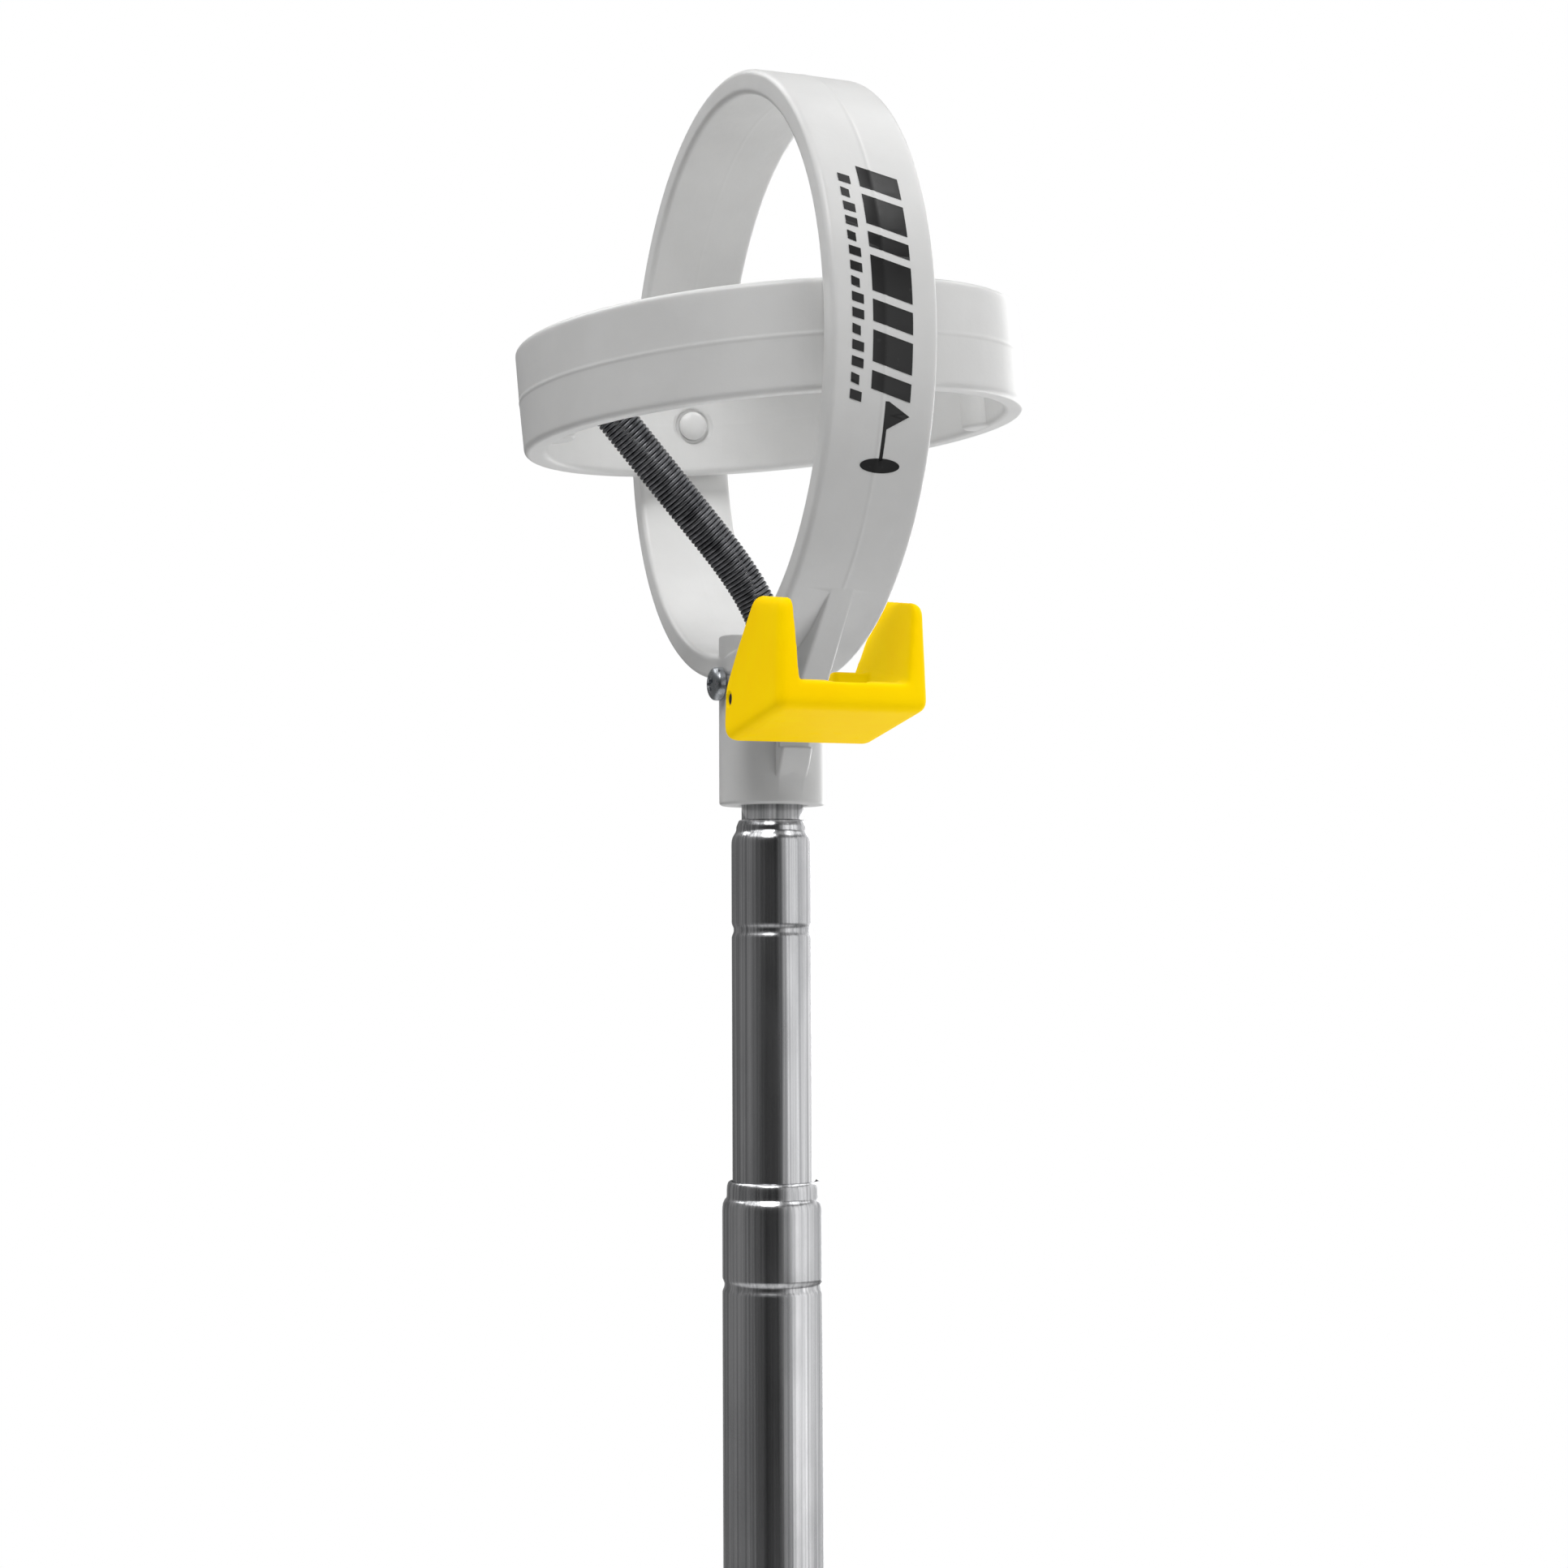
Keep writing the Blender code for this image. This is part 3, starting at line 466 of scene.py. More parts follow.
def head_hoop(white):
    """Hoop, socket and web in one moulding, with its holes."""
    section = band_section(BAND_HALF_WIDTH, HOOP_WALL, BAND_ROUNDING, BAND_RIDGE)
    shape = bmesh.new()
    rings = []
    for i in range(BAND_STEPS):
        inner, outer = hoop_points(math.tau * i / BAND_STEPS)
        ring = []
        for across, out in section:
            flat = inner.lerp(outer, out / HOOP_WALL)
            ring.append((across, flat.x, flat.y))
        rings.append(ring)
    loops(shape, rings)
    hoop = to_object("hoop_moulding", shape, white, IN_HEAD)

    # Socket, hollowed where the ring sweeps past it
    bore = TUBE_RADII[1] + HOLE_CLEARANCE
    foot, top = SOCKET_BOTTOM, SOCKET_TOP
    top_round, foot_round = 0.6, 0.5
    profile = [(0.01, top)]
    middle = (SOCKET_RADIUS - top_round, top - top_round)
    profile += reversed(corner(middle, top_round, 0, 90))
    middle = (SOCKET_RADIUS - foot_round, foot + foot_round)
    profile += reversed(corner(middle, foot_round, 270, 360))
    profile += [(0.01, foot)]
    socket = lathe("socket", profile, white, 96, IN_HEAD, solid=True)
    sweep = rod("sweep", RING_SWEEP_RADIUS, (0, -12, 0), (0, 12, 0), white, steps=256)
    socket = combined(socket, "DIFFERENCE", sweep)
    # Web from the band to the socket, seen from the side
    outline = [(-27.3, -32.8), (-17.0, -44.6), (-10.4, -52.6), (-9.8, -54.6), (-8.7, -56.8)]
    outline += [(-7.2, -58.8), (-4.5, -58.8), (-4.5, -42.0), (-25.6, -32.6)]
    web = prism("web", outline, WEB_THICKNESS / 2, white, height=WEB_TOP, draft=WEB_DRAFT)
    web = rounded(web, 0.5, 3, 50)
    hoop = combined(hoop, "UNION", socket, web)
    # Holes
    flare = [(0.01, foot - 1), (bore + 1.5, foot - 1), (bore, foot + 0.5), (0.01, foot + 0.5)]
    spring_hole = SPRING_RADIUS + HOLE_CLEARANCE
    notch = [(-14, -54.15), (-8.5, -54.15), (-8.5, -52.2), (-14, -52.2)]
    cutters = [
        rod("bore", bore, (0, 0, foot - 2), (0, 0, foot + 11), white, steps=64),
        rod("spring_hole", spring_hole, (0, 0, -49), (0, 0, -34), white, steps=48),
        rod("screw_hole", 1.6, (-11.5, 0, SCREW_HEIGHT), (-1.5, 0, SCREW_HEIGHT), white),
        rod("latch_hole", 1.3, (-5, PIN_Y, PIN_Z), (5, PIN_Y, PIN_Z), white),
        prism("latch_notch", notch, 4, white),
        lathe("chamfer", flare, white, 64, IN_HEAD, solid=True),
    ]
    face = HOOP_HALF_WIDTH - HOOP_WALL
    for side in (-1, 1):
        start, end = (0, side * (face - 2), 0), (0, side * (face + 2.8), 0)
        cutters.append(rod(f"pivot_{side}", PIVOT_RADIUS + HOLE_CLEARANCE, start, end, white))
    hoop = crisp(combined(hoop, "DIFFERENCE", *cutters))
    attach(hoop, "head")
    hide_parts("head_hoop")


def spring_line():
    """Points along the spring's axis: straight down from the ring, then into the socket."""
    start, bend, foot = Vector((-28.2, 0, -1.9)), Vector((-9.4, 0, -23.05)), Vector((0, 0, -40.5))
    bottom = Vector((0, 0, SPRING_BOTTOM + SPRING_WIRE_RADIUS))
    below = bend + (bend - start).normalized() * 7
    straight = [start.lerp(bend, i / 12) for i in range(12)]
    curved = interpolate_bezier(bend, below, foot + Vector((0, 0, 6)), foot, 40)
    return straight + list(curved) + [bottom]


def catch_ring(white):
    """Ring with its parting line, two lugs, pivot recesses and the spring's peg."""
    inner = RING_RADIUS - RING_WALL
    section = band_section(RING_HALF_HEIGHT, RING_WALL, BAND_ROUNDING, BAND_RIDGE)
    shape = bmesh.new()
    rings = []
    for i in range(BAND_STEPS):
        cosine, sine = math.cos(math.tau * i / BAND_STEPS), math.sin(math.tau * i / BAND_STEPS)
        rings.append([((inner + r) * cosine, (inner + r) * sine, z) for z, r in section])
    loops(shape, rings)
    tilted = IN_HEAD @ Matrix.Rotation(-RING_REST_TILT, 4, "Y")
    ring = to_object("catch_ring_moulding", shape, white, tilted)
    lug_radius, lug_half, lug_round = 2.8, RING_HALF_HEIGHT - 0.15, 0.7
    flat = lug_radius - lug_round
    others = []
    for side in (-1, 1):
        profile = [(0.01, lug_half)]
        profile += reversed(corner((flat, lug_half - lug_round), lug_round, 0, 90))
        profile += reversed(corner((flat, lug_round - lug_half), lug_round, 270, 360))
        profile += [(0.01, -lug_half)]
        place = tilted @ Matrix.Translation((side * (inner + 0.2), 0, 0))
        others.append(lathe(f"lug_{side}", profile, white, 48, place, solid=True))
    line = spring_line()
    run = (line[1] - line[0]).normalized()
    others.append(rod("peg", 1.75, line[0] - run * 5.1, line[0] + run * 3.4, white))
    ring = combined(ring, "UNION", *others)
    cutters = []
    radius, depth = PIVOT_RECESS
    for side in (-1, 1):
        profile = [(0.01, inner - 3), (radius + 0.5, inner - 3), (radius + 0.5, inner - 0.1)]
        profile += [(radius, inner + 0.2), (radius - 0.1, inner + depth), (0.01, inner + depth)]
        place = IN_HEAD @ Matrix.Rotation(-side * math.pi / 2, 4, "X")
        cutters.append(lathe(f"recess_{side}", profile, white, 48, place, solid=True))
        start, end = (0, side * (inner - 2), 0), (0, side * (inner + 6), 0)
        cutters.append(rod(f"hole_{side}", PIVOT_RADIUS + HOLE_CLEARANCE, start, end, white))
    ring = crisp(combined(ring, "DIFFERENCE", *cutters))
    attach(ring, "catch_ring")
    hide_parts("catch_ring")


def pivot_pins(white):
    """Domed hinge pins through the ring into the hoop."""
    face = RING_RADIUS - RING_WALL + PIVOT_RECESS[1] - 0.3
    tip = HOOP_HALF_WIDTH - HOOP_WALL + 2.5
    for name, side in (("pivot_pin_front", -1), ("pivot_pin_back", 1)):
        turns = [math.radians(9 * i) for i in range(10, -1, -1)]
        dome = [(PIVOT_HEAD_RADIUS * math.sin(a), face - 0.5 - 0.9 * math.cos(a)) for a in turns]
        profile = [(0.01, tip), (PIVOT_RADIUS - 0.2, tip), (PIVOT_RADIUS, tip - 0.2)]
        profile += [(PIVOT_RADIUS, face), (PIVOT_HEAD_RADIUS, face), *dome[:-1]]
        profile += [(0.01, dome[-1][1])]
        place = IN_HEAD @ Matrix.Rotation(-side * math.pi / 2, 4, "X")
        pin = sharpen(lathe(f"{name}_domed", profile, white, 48, place, solid=True))
        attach(pin, "head")
        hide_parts(name)


def new_tree(name, result, **inputs):
    """A geometry node tree with named inputs. Gives it, its node adder, inputs and last node."""
    tree = bpy.data.node_groups.new(name, "GeometryNodeTree")
    for label, kind in inputs.items():
        label = label.replace("_", " ")
        tree.interface.new_socket(label, in_out="INPUT", socket_type=f"NodeSocket{kind}")
    tree.interface.new_socket(result, in_out="OUTPUT", socket_type="NodeSocketGeometry")
    given = tree.nodes.new("NodeGroupInput").outputs
    return tree, partial(add_node, tree), given, tree.nodes.new("NodeGroupOutput")


def winder():
    """Node tree that winds a wire round a path as a close coil."""
    sizes = dict.fromkeys(("Coil_Radius", "Pitch", "Wire_Radius", "Points_per_Turn"), "Float")
    tree, add, given, out = new_tree(
        "close_coil", "Coil", Path="Geometry", **sizes, Wire="Material"
    )
    step = add(MATH, {"operation": "DIVIDE"}, in0=given["Pitch"], in1=given["Points per Turn"])
    even = {"mode": "LENGTH"}
    path = add("GeometryNodeResampleCurve", even, Curve=given["Path"], Length=step)
    along = add("GeometryNodeSplineParameter").node.outputs["Length"]
    turns = add(MATH, {"operation": "DIVIDE"}, in0=along, in1=given["Pitch"])
    angle = add(MATH, {"operation": "MULTIPLY"}, in0=turns, in1=math.tau)
    normal, tangent = add("GeometryNodeInputNormal"), add("GeometryNodeInputTangent")
    about = {"rotation_type": "AXIS_ANGLE"}
    turned = add("ShaderNodeVectorRotate", about, Vector=normal, Axis=tangent, Angle=angle)
    offset = add(VECTOR_MATH, {"operation": "SCALE"}, Vector=turned, Scale=given["Coil Radius"])
    wound = add("GeometryNodeSetPosition", Geometry=path, Offset=offset)
    wire = add("GeometryNodeCurvePrimitiveCircle", Resolution=8, Radius=given["Wire Radius"])
    swept = add("GeometryNodeCurveToMesh", Curve=wound, in1=wire, Fill_Caps=True)
    smooth = add("GeometryNodeSetShadeSmooth", Geometry=swept)
    real = add("GeometryNodeRealizeInstances", Geometry=smooth)
    finished = add("GeometryNodeSetMaterial", Geometry=real, Material=given["Wire"])
    connect(out, Coil=finished)
    return tree


def run_tree(obj, tree, **values):
    """Runs a node tree on an object with its inputs set by name, and keeps the plain mesh."""
    step = obj.modifiers.new(tree.name, "NODES")
    step.node_group = tree
    for item in tree.interface.items_tree:
        key = item.name.replace(" ", "_")
        if item.in_out == "INPUT" and key in values:
            step[item.identifier] = values[key]
    return settled(obj)


def catch_spring(wire):
    """Close-wound spring along a curved line from the ring down into the socket."""
    points = [IN_HEAD @ point for point in spring_line()]
    drawing = bpy.data.curves.new("coil_path", "CURVE")
    drawing.dimensions = "3D"
    spline = drawing.splines.new("POLY")
    spline.points.add(len(points) - 1)
    for point, place in zip(spline.points, points):
        point.co = (*place, 1.0)
    path = bpy.data.objects.new("wound_spring", drawing)
    bpy.context.scene.collection.objects.link(path)
    spring = run_tree(
        path,
        winder(),
        Coil_Radius=(SPRING_RADIUS - SPRING_WIRE_RADIUS) * MM,
        Pitch=2.03 * SPRING_WIRE_RADIUS * MM,
        Wire_Radius=SPRING_WIRE_RADIUS * MM,
        Points_per_Turn=20.0,
        Wire=wire,
    )
    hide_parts("catch_spring")
    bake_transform(spring)


def spring_screw(zinc):
    """Pan-head screw with a tapered cross recess."""
    seat, size, height = SOCKET_RADIUS + 0.3, 2.45, 1.8  # the head's foot, radius and height
    turns = [math.radians(9 * i) for i in range(1, 11)]
    crown = [(size * math.sin(a), seat + 0.7 + (height - 0.7) * math.cos(a)) for a in turns]
    profile = [(0.01, seat + height), *crown, (size, seat), (1.3, seat)]
    for turn in range(9):  # thread, hidden in the socket's wall
        z = seat - 0.3 - 0.45 * turn
        profile += [(1.3, z), (1.05, z - 0.22)]
    profile += [(0.6, 3.3), (0.01, 3.1)]
    level = Matrix.Rotation(-math.pi / 2, 4, "Y")
    upright = IN_HEAD @ Matrix.Translation((0, 0, SCREW_HEIGHT)) @ level
    screw = lathe("pan_head_screw", profile, zinc, 64, upright, solid=True)
    cutters = []
    for quarter in (20, 110):  # degrees that the recess is turned
        arm = bmesh.new()
        crown_top = seat + height
        for width, length, z in ((0.5, 1.0, crown_top - 1.2), (0.8, 3.0, crown_top + 0.2)):
            for x, y in ((-1, -1), (1, -1), (1, 1), (-1, 1)):
                arm.verts.new((x * length / 2, y * width / 2, z))
        bmesh.ops.convex_hull(arm, input=arm.verts)
        place = upright @ Matrix.Rotation(math.radians(quarter), 4, "Z")
        cutters.append(to_object(f"driver_arm_{quarter}", arm, zinc, place))
    screw = sharpen(combined(screw, "DIFFERENCE", *cutters), 30)
    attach(screw, "head")
    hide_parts("spring_screw")


def latch_clip(yellow):
    """Soft-edged clip: a fine even mesh of the sharp shape, relaxed, and bored for its pin."""
    side_view = [(-8.9, -46.0), (-8.9, -51.5), (-9.2, -52.6), (-9.9, -53.3), (-11.0, -53.65)]
    side_view += [(-30.7, -50.4), (-30.4, -35.6), (-19.2, -33.9), (-13.6, -40.0)]
    half, floor = LATCH_WIDTH / 2 + 0.1, LATCH_FLOOR  # relaxing takes the 0.1 off again
    clip = prism("latch_moulding", side_view, half, yellow, height=floor, draft=-0.003)
    clip = rounded(clip, 1.4, 4, 30)
    between_arms = [(-34.0, -47.6), (-15.6, -43.8), (-12.6, -44.6), (-10.8, -44.6), (-8.2, -46.2)]
    between_arms += [(-6.0, -46.2), (-6.0, -30.0), (-34.0, -30.0)]
    behind_lip = [(-27.2, -48.2), (-17.2, -49.0), (-17.2, -42.0), (-27.2, -42.0)]
    web_groove = [(-30.0, -46.6), (-17.8, -49.2), (-12.9, -50.3), (-11.0, -52.6)]
    web_groove += [(-6.0, -52.6), (-6.0, -40.0), (-30.0, -40.0)]
    half_slot = LATCH_SLOT_WIDTH / 2
    groove_half = WEB_THICKNESS / 2 * (1 + WEB_DRAFT * (floor - WEB_TOP)) + 0.5
    clip = combined(
        clip,
        "DIFFERENCE",
        prism("between_arms", between_arms, half_slot, yellow, height=floor, draft=0.009),
        prism("behind_lip", behind_lip, half_slot - 0.3, yellow, height=floor, draft=0.009),
        prism("web_groove", web_groove, groove_half, yellow, height=floor, draft=WEB_DRAFT),
    )
    even = clip.modifiers.new("Even mesh", "REMESH")
    even.mode, even.voxel_size = "VOXEL", 0.24 * MM
    relax = clip.modifiers.new("Soft edges", "SMOOTH")
    relax.factor, relax.iterations = 0.5, 26
    clip = settled(clip)
    bore = rod("bore", 1.15, (-15, PIN_Y, PIN_Z), (15, PIN_Y, PIN_Z), yellow)
    clip = combined(clip, "DIFFERENCE", bore)
    clip.data.shade_smooth()
    sharpen(clip, 50)
    clip.visible_diffuse = clip.visible_glossy = False  # keeps its colour off the white moulding
    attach(clip, "latch")
    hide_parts("latch_clip")


def latch_pin(blackened):
    """Plain pin with eased ends, a little below the latch's cheeks."""
    half, radius, edge = LATCH_WIDTH / 2 - 0.15, 1.0, 0.2
    profile = [(0.01, half), (radius - edge, half), (radius, half - edge)]
    profile += [(r, -z) for r, z in reversed(profile)]
    place = IN_HEAD @ Matrix.Translation((0, PIN_Y, PIN_Z)) @ Matrix.Rotation(math.pi / 2, 4, "Y")
    pin = sharpen(lathe("latch_pin_turned", profile, blackened, 32, place, solid=True))
    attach(pin, "head")
    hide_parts("latch_pin")


# Print on the hoop's front face


def on_hoop(across, height, lift=0.03):
    """The point on the hoop's front outer face at a distance across it and a height."""
    limit = HOOP_TOP if height > 0 else HOOP_BOTTOM
    angle = math.asin(max(-1.0, min(1.0, height / limit)))
    y = -HOOP_HALF_WIDTH * math.cos(angle)
    outward = Vector((0, y / HOOP_HALF_WIDTH**2, height / limit**2)).normalized()
    ridge = 0.05 * max(0.0, 1 - abs(across) / 0.3)
    return Vector((across, y, height)) + outward * (lift + ridge)


def slanted(left, right, low, high, slope):
    """A block whose lower and upper edges slope across the band."""
    return [(left, low), (right, low + slope), (right, high + slope), (left, high)]


def disc(across, height, radius, steps=40):
    """Points round a disc."""
    turns = [math.tau * i / steps for i in range(steps)]
    return [(across + radius * math.cos(a), height + radius * math.sin(a)) for a in turns]


def print_shapes():
    """A plain wordless design: slanted bars, a column of ticks and a flag on a green."""
    shapes = []
    height = 22.6
    for thickness in (3.2, 4.4, 2.2, 5.0, 3.0, 4.2, 2.4):
        shapes.append(slanted(-1.9, 3.9, height - thickness, height, -1.5))
        height -= thickness + 1.15
    for i in range(15):
        low = 21.2 - 2.15 * i
        shapes.append(slanted(-4.9, -3.2 - 0.5 * (i % 3 == 1), low - 1.25, low, -0.4))
    foot = -18.4
    shapes.append([(x, foot + 0.32 * (z - foot)) for x, z in disc(0.6, foot, 2.9)])
    shapes.append([(0.35, foot), (0.85, foot), (0.85, foot + 8.2), (0.35, foot + 8.2)])
    shapes.append([(0.85, foot + 8.2), (0.85, foot + 4.6), (4.0, foot + 6.4)])
    return shapes


def hoop_print(ink):
    """The print, cut fine enough to lie on the curved band and over its parting line."""
    shape = bmesh.new()
    for outline in print_shapes():
        shape.faces.new([shape.verts.new((x, z, 0)) for x, z in outline])
    cuts = [((0, i * 0.5, 0), (0, 1, 0)) for i in range(-40, 75)]
    cuts += [((across, 0, 0), (1, 0, 0)) for across in (-0.3, 0.0, 0.3)]
    for point, way in cuts:
        everything = shape.verts[:] + shape.edges[:] + shape.faces[:]
        bmesh.ops.bisect_plane(shape, geom=everything, plane_co=point, plane_no=way)
    bmesh.ops.triangulate(shape, faces=shape.faces)
    for vertex in shape.verts:
        vertex.co = on_hoop(vertex.co.x, vertex.co.y)
    made = to_object("hoop_print", shape, ink, IN_HEAD)
    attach(made, "head")


# Shaft


def shaft_tube(number, steel):
    """Drawn tube with a rolled mouth and a crimp."""
    radius = TUBE_RADII[number]
    low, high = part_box(f"tube_{number}")
    foot, mouth = low.z / MM, high.z / MM
    inner = radius - TUBE_WALL
    if number == 1:
        profile = [(radius - 0.1, mouth), (radius, mouth - 0.1), (radius, foot + 0.1)]
        profile += [(radius - 0.1, foot), (inner, foot), (inner, mouth)]
    else:
        crimp = CRIMP_BELOW_MOUTH[number]
        # (inwards, downwards) from the mouth's rim: the lip is rolled in
        if number == 2:
            rolled = [(1.32, 0.0), (1.14, 0.05), (1.01, 0.25), (0.92, 0.5), (0.81, 0.75)]
            rolled += [(0.73, 1.0), (0.71, 1.25), (0.7, 1.45), (0.63, 1.7), (0.49, 1.95)]
            rolled += [(0.33, 2.2), (0.18, 2.5), (0.07, 2.85), (0.02, 3.2), (0, 3.6)]
        else:
            rolled = [(1.2, 0.0), (1.05, 0.05), (0.88, 0.2), (0.76, 0.45), (0.69, 0.8)]
            rolled += [(0.66, 1.2), (0.65, 1.8), (0.64, 2.2), (0.56, 2.42), (0.4, 2.6)]
            rolled += [(0.24, 2.85), (0.1, 3.2), (0.03, 3.7), (0, 4.3)]
        groove = [(0.0, -1.1), (0.03, -0.9), (0.14, -0.6), (0.26, -0.3), (0.3, 0.0)]
        groove += [(0.26, 0.3), (0.14, 0.6), (0.03, 0.9), (0.0, 1.1)]
        profile = [(radius - inset, mouth - drop) for inset, drop in rolled]
        profile += [(radius - inset, mouth - crimp - drop) for inset, drop in groove]
        profile += [(radius, foot + 0.1), (radius - 0.1, foot), (inner, foot)]
        profile += [(inner - inset, mouth - crimp + drop) for inset, drop in groove]
        bore = radius - 1.35
        profile += [(inner, mouth - 4.9), (bore, mouth - 2.9), (bore, mouth - 0.05)]
    tube = lathe(f"drawn_tube_{number}", profile, steel, 96, FROM_FLOOR)
    sharpen(tube, 45)
    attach(tube, TUBE_BODIES[number])
    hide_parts(f"tube_{number}")


# Handle


def grip_profile():
    """(radius, height) points down the grip's outside: a taper with rounded grooves round it."""
    low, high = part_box("grip")[0].z / MM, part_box("grip")[1].z / MM
    foot, top = GRIP_FOOT_RADIUS, GRIP_TOP_RADIUS
    points = [(top - 0.8, high), (top - 0.25, high - 0.2), (top, high - 0.8)]
    for i in range(GRIP_GROOVES):
        middle = high - (high - low) * (i + 0.5) / GRIP_GROOVES
        for j in range(-6, 7):
            level = middle - 0.5 * j
            outer = foot + (top - foot) * (level - low) / (high - low)
            points.append((outer - 0.7 * (0.5 + 0.5 * math.cos(math.pi * j / 6)), level))
    points += [(foot, low + 0.8), (foot - 0.25, low + 0.2), (foot - 0.8, low)]
    return points


def grip(rubber):
    """Tapered rubber sleeve on the thickest tube."""
    outside = grip_profile()
    profile = outside + [(GRIP_BORE, outside[-1][1]), (GRIP_BORE, outside[0][1])]
    sleeve = sharpen(lathe("grip_sleeve", profile, rubber, 128, FROM_FLOOR), 50)
    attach(sleeve, "handle")
    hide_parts("grip")


def pip_setter():
    """Node tree that sets rows of small domes round a tapered sleeve, staggered row by row, and
    leaves a share of each band of the sleeve bare."""
    sizes = ("Foot_Radius", "Top_Radius", "Foot", "Top", "Pip_Radius", "Pip_Height")
    sizes += ("Band", "Margin", "Bare_Share")
    counts = dict.fromkeys(("Columns", "Rows"), "Int")
    tree, add, given, out = new_tree(
        "pips_round_sleeve", "Pips", **dict.fromkeys(sizes, "Float"), **counts, Rubber="Material"
    )
    plus, minus = {"operation": "ADD"}, {"operation": "SUBTRACT"}
    times, over = {"operation": "MULTIPLY"}, {"operation": "DIVIDE"}
    whole, remainder, part = [{"operation": name} for name in ("FLOOR", "MODULO", "FRACT")]
    count = add(MATH, times, in0=given["Columns"], in1=given["Rows"])
    line = add("GeometryNodeMeshLine", Count=count)
    index = add("GeometryNodeInputIndex")
    row = add(MATH, whole, in0=add(MATH, over, in0=index, in1=given["Columns"]))
    column = add(MATH, remainder, in0=index, in1=given["Columns"])
    odd = add(MATH, remainder, in0=row, in1=2.0)
    staggered = add(MATH, SUM_OF_SCALED, in0=odd, in1=0.5, in2=column)
    turn = add(MATH, over, in0=staggered, in1=given["Columns"])
    angle = add(MATH, times, in0=turn, in1=math.tau)
    share = add(MATH, over, in0=row, in1=add(MATH, minus, in0=given["Rows"], in1=1.0))
    rise = add(MATH, minus, in0=given["Top"], in1=given["Foot"])
    height = add(MATH, SUM_OF_SCALED, in0=share, in1=rise, in2=given["Foot"])
    taper = add(MATH, minus, in0=given["Top Radius"], in1=given["Foot Radius"])
    radius = add(MATH, SUM_OF_SCALED, in0=share, in1=taper, in2=given["Foot Radius"])
    cosine = add(MATH, {"operation": "COSINE"}, in0=angle)
    sine = add(MATH, {"operation": "SINE"}, in0=angle)
    across, away = [add(MATH, times, in0=radius, in1=side) for side in (cosine, sine)]
    place = add("ShaderNodeCombineXYZ", X=across, Y=away, Z=height)
    spots = add("GeometryNodeSetPosition", Geometry=line, Position=place)
    below_top = add(MATH, minus, in0=given["Top"], in1=height)
    below_edge = add(MATH, plus, in0=below_top, in1=given["Margin"])
    in_band = add(MATH, part, in0=add(MATH, over, in0=below_edge, in1=given["Band"]))
    off_middle = add(MATH, minus, in0=in_band, in1=0.5)
    from_groove = add(MATH, {"operation": "ABSOLUTE"}, in0=off_middle)
    bare = add(MATH, {"operation": "LESS_THAN"}, in0=from_groove, in1=given["Bare Share"])
    kept = add("GeometryNodeDeleteGeometry", {"domain": "POINT"}, Geometry=spots, Selection=bare)
    outward = add("ShaderNodeCombineXYZ", X=cosine, Y=sine)
    aim = add("FunctionNodeAlignRotationToVector", {"axis": "Z"}, Vector=outward)
    ball = add("GeometryNodeMeshUVSphere", Segments=8, Rings=4, Radius=given["Pip Radius"])
    smooth = add("GeometryNodeSetShadeSmooth", Geometry=ball)
    flat = add(MATH, over, in0=given["Pip Height"], in1=given["Pip Radius"])
    size = add("ShaderNodeCombineXYZ", X=1.0, Y=1.0, Z=flat)
    set_on = {"Points": kept, "Instance": smooth, "Rotation": aim, "Scale": size}
    spread = add("GeometryNodeInstanceOnPoints", **set_on)
    real = add("GeometryNodeRealizeInstances", Geometry=spread)
    finished = add("GeometryNodeSetMaterial", Geometry=real, Material=given["Rubber"])
    connect(out, Pips=finished)
    return tree


def grip_pips(rubber):
    """Raised pips over the grip, clear of its grooves."""
    low, high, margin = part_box("grip")[0].z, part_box("grip")[1].z, 2.5 * MM
    blank = bpy.data.objects.new("grip_pips", bpy.data.meshes.new("grip_pips"))
    bpy.context.scene.collection.objects.link(blank)
    pips = run_tree(
        blank,
        pip_setter(),
        Foot_Radius=(GRIP_FOOT_RADIUS - 0.05) * MM,
        Top_Radius=(GRIP_TOP_RADIUS - 0.05) * MM,
        Foot=low + margin,
        Top=high - margin,
        Margin=margin,
        Pip_Radius=0.95 * MM,
        Pip_Height=0.5 * MM,
        Band=(high - low) / GRIP_GROOVES,
        Bare_Share=0.16,
        Columns=28,
        Rows=90,
        Rubber=rubber,
    )
    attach(pips, "handle")


def grip_collar(plastic):
    """Tapered collar with a groove, above the grip."""
    inner = GRIP_BORE
    low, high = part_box("grip_collar")[0].z / MM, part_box("grip_collar")[1].z / MM
    profile = [(inner + 0.55, high), (inner + 0.78, high - 0.1), (inner + 0.98, high - 0.4)]
    profile += [(inner + 1.1, high - 0.9), (inner + 1.35, low + 3.6), (inner + 1.1, low + 3.3)]
    profile += [(inner + 1.1, low + 2.7), (inner + 1.42, low + 2.4), (inner + 1.6, low + 1.2)]
    profile += [(inner + 1.6, low + 0.2), (inner + 1.45, low), (inner, low), (inner, high)]
    collar = sharpen(lathe("grip_collar_turned", profile, plastic, 96, FROM_FLOOR))
    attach(collar, "handle")
    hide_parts("grip_collar")


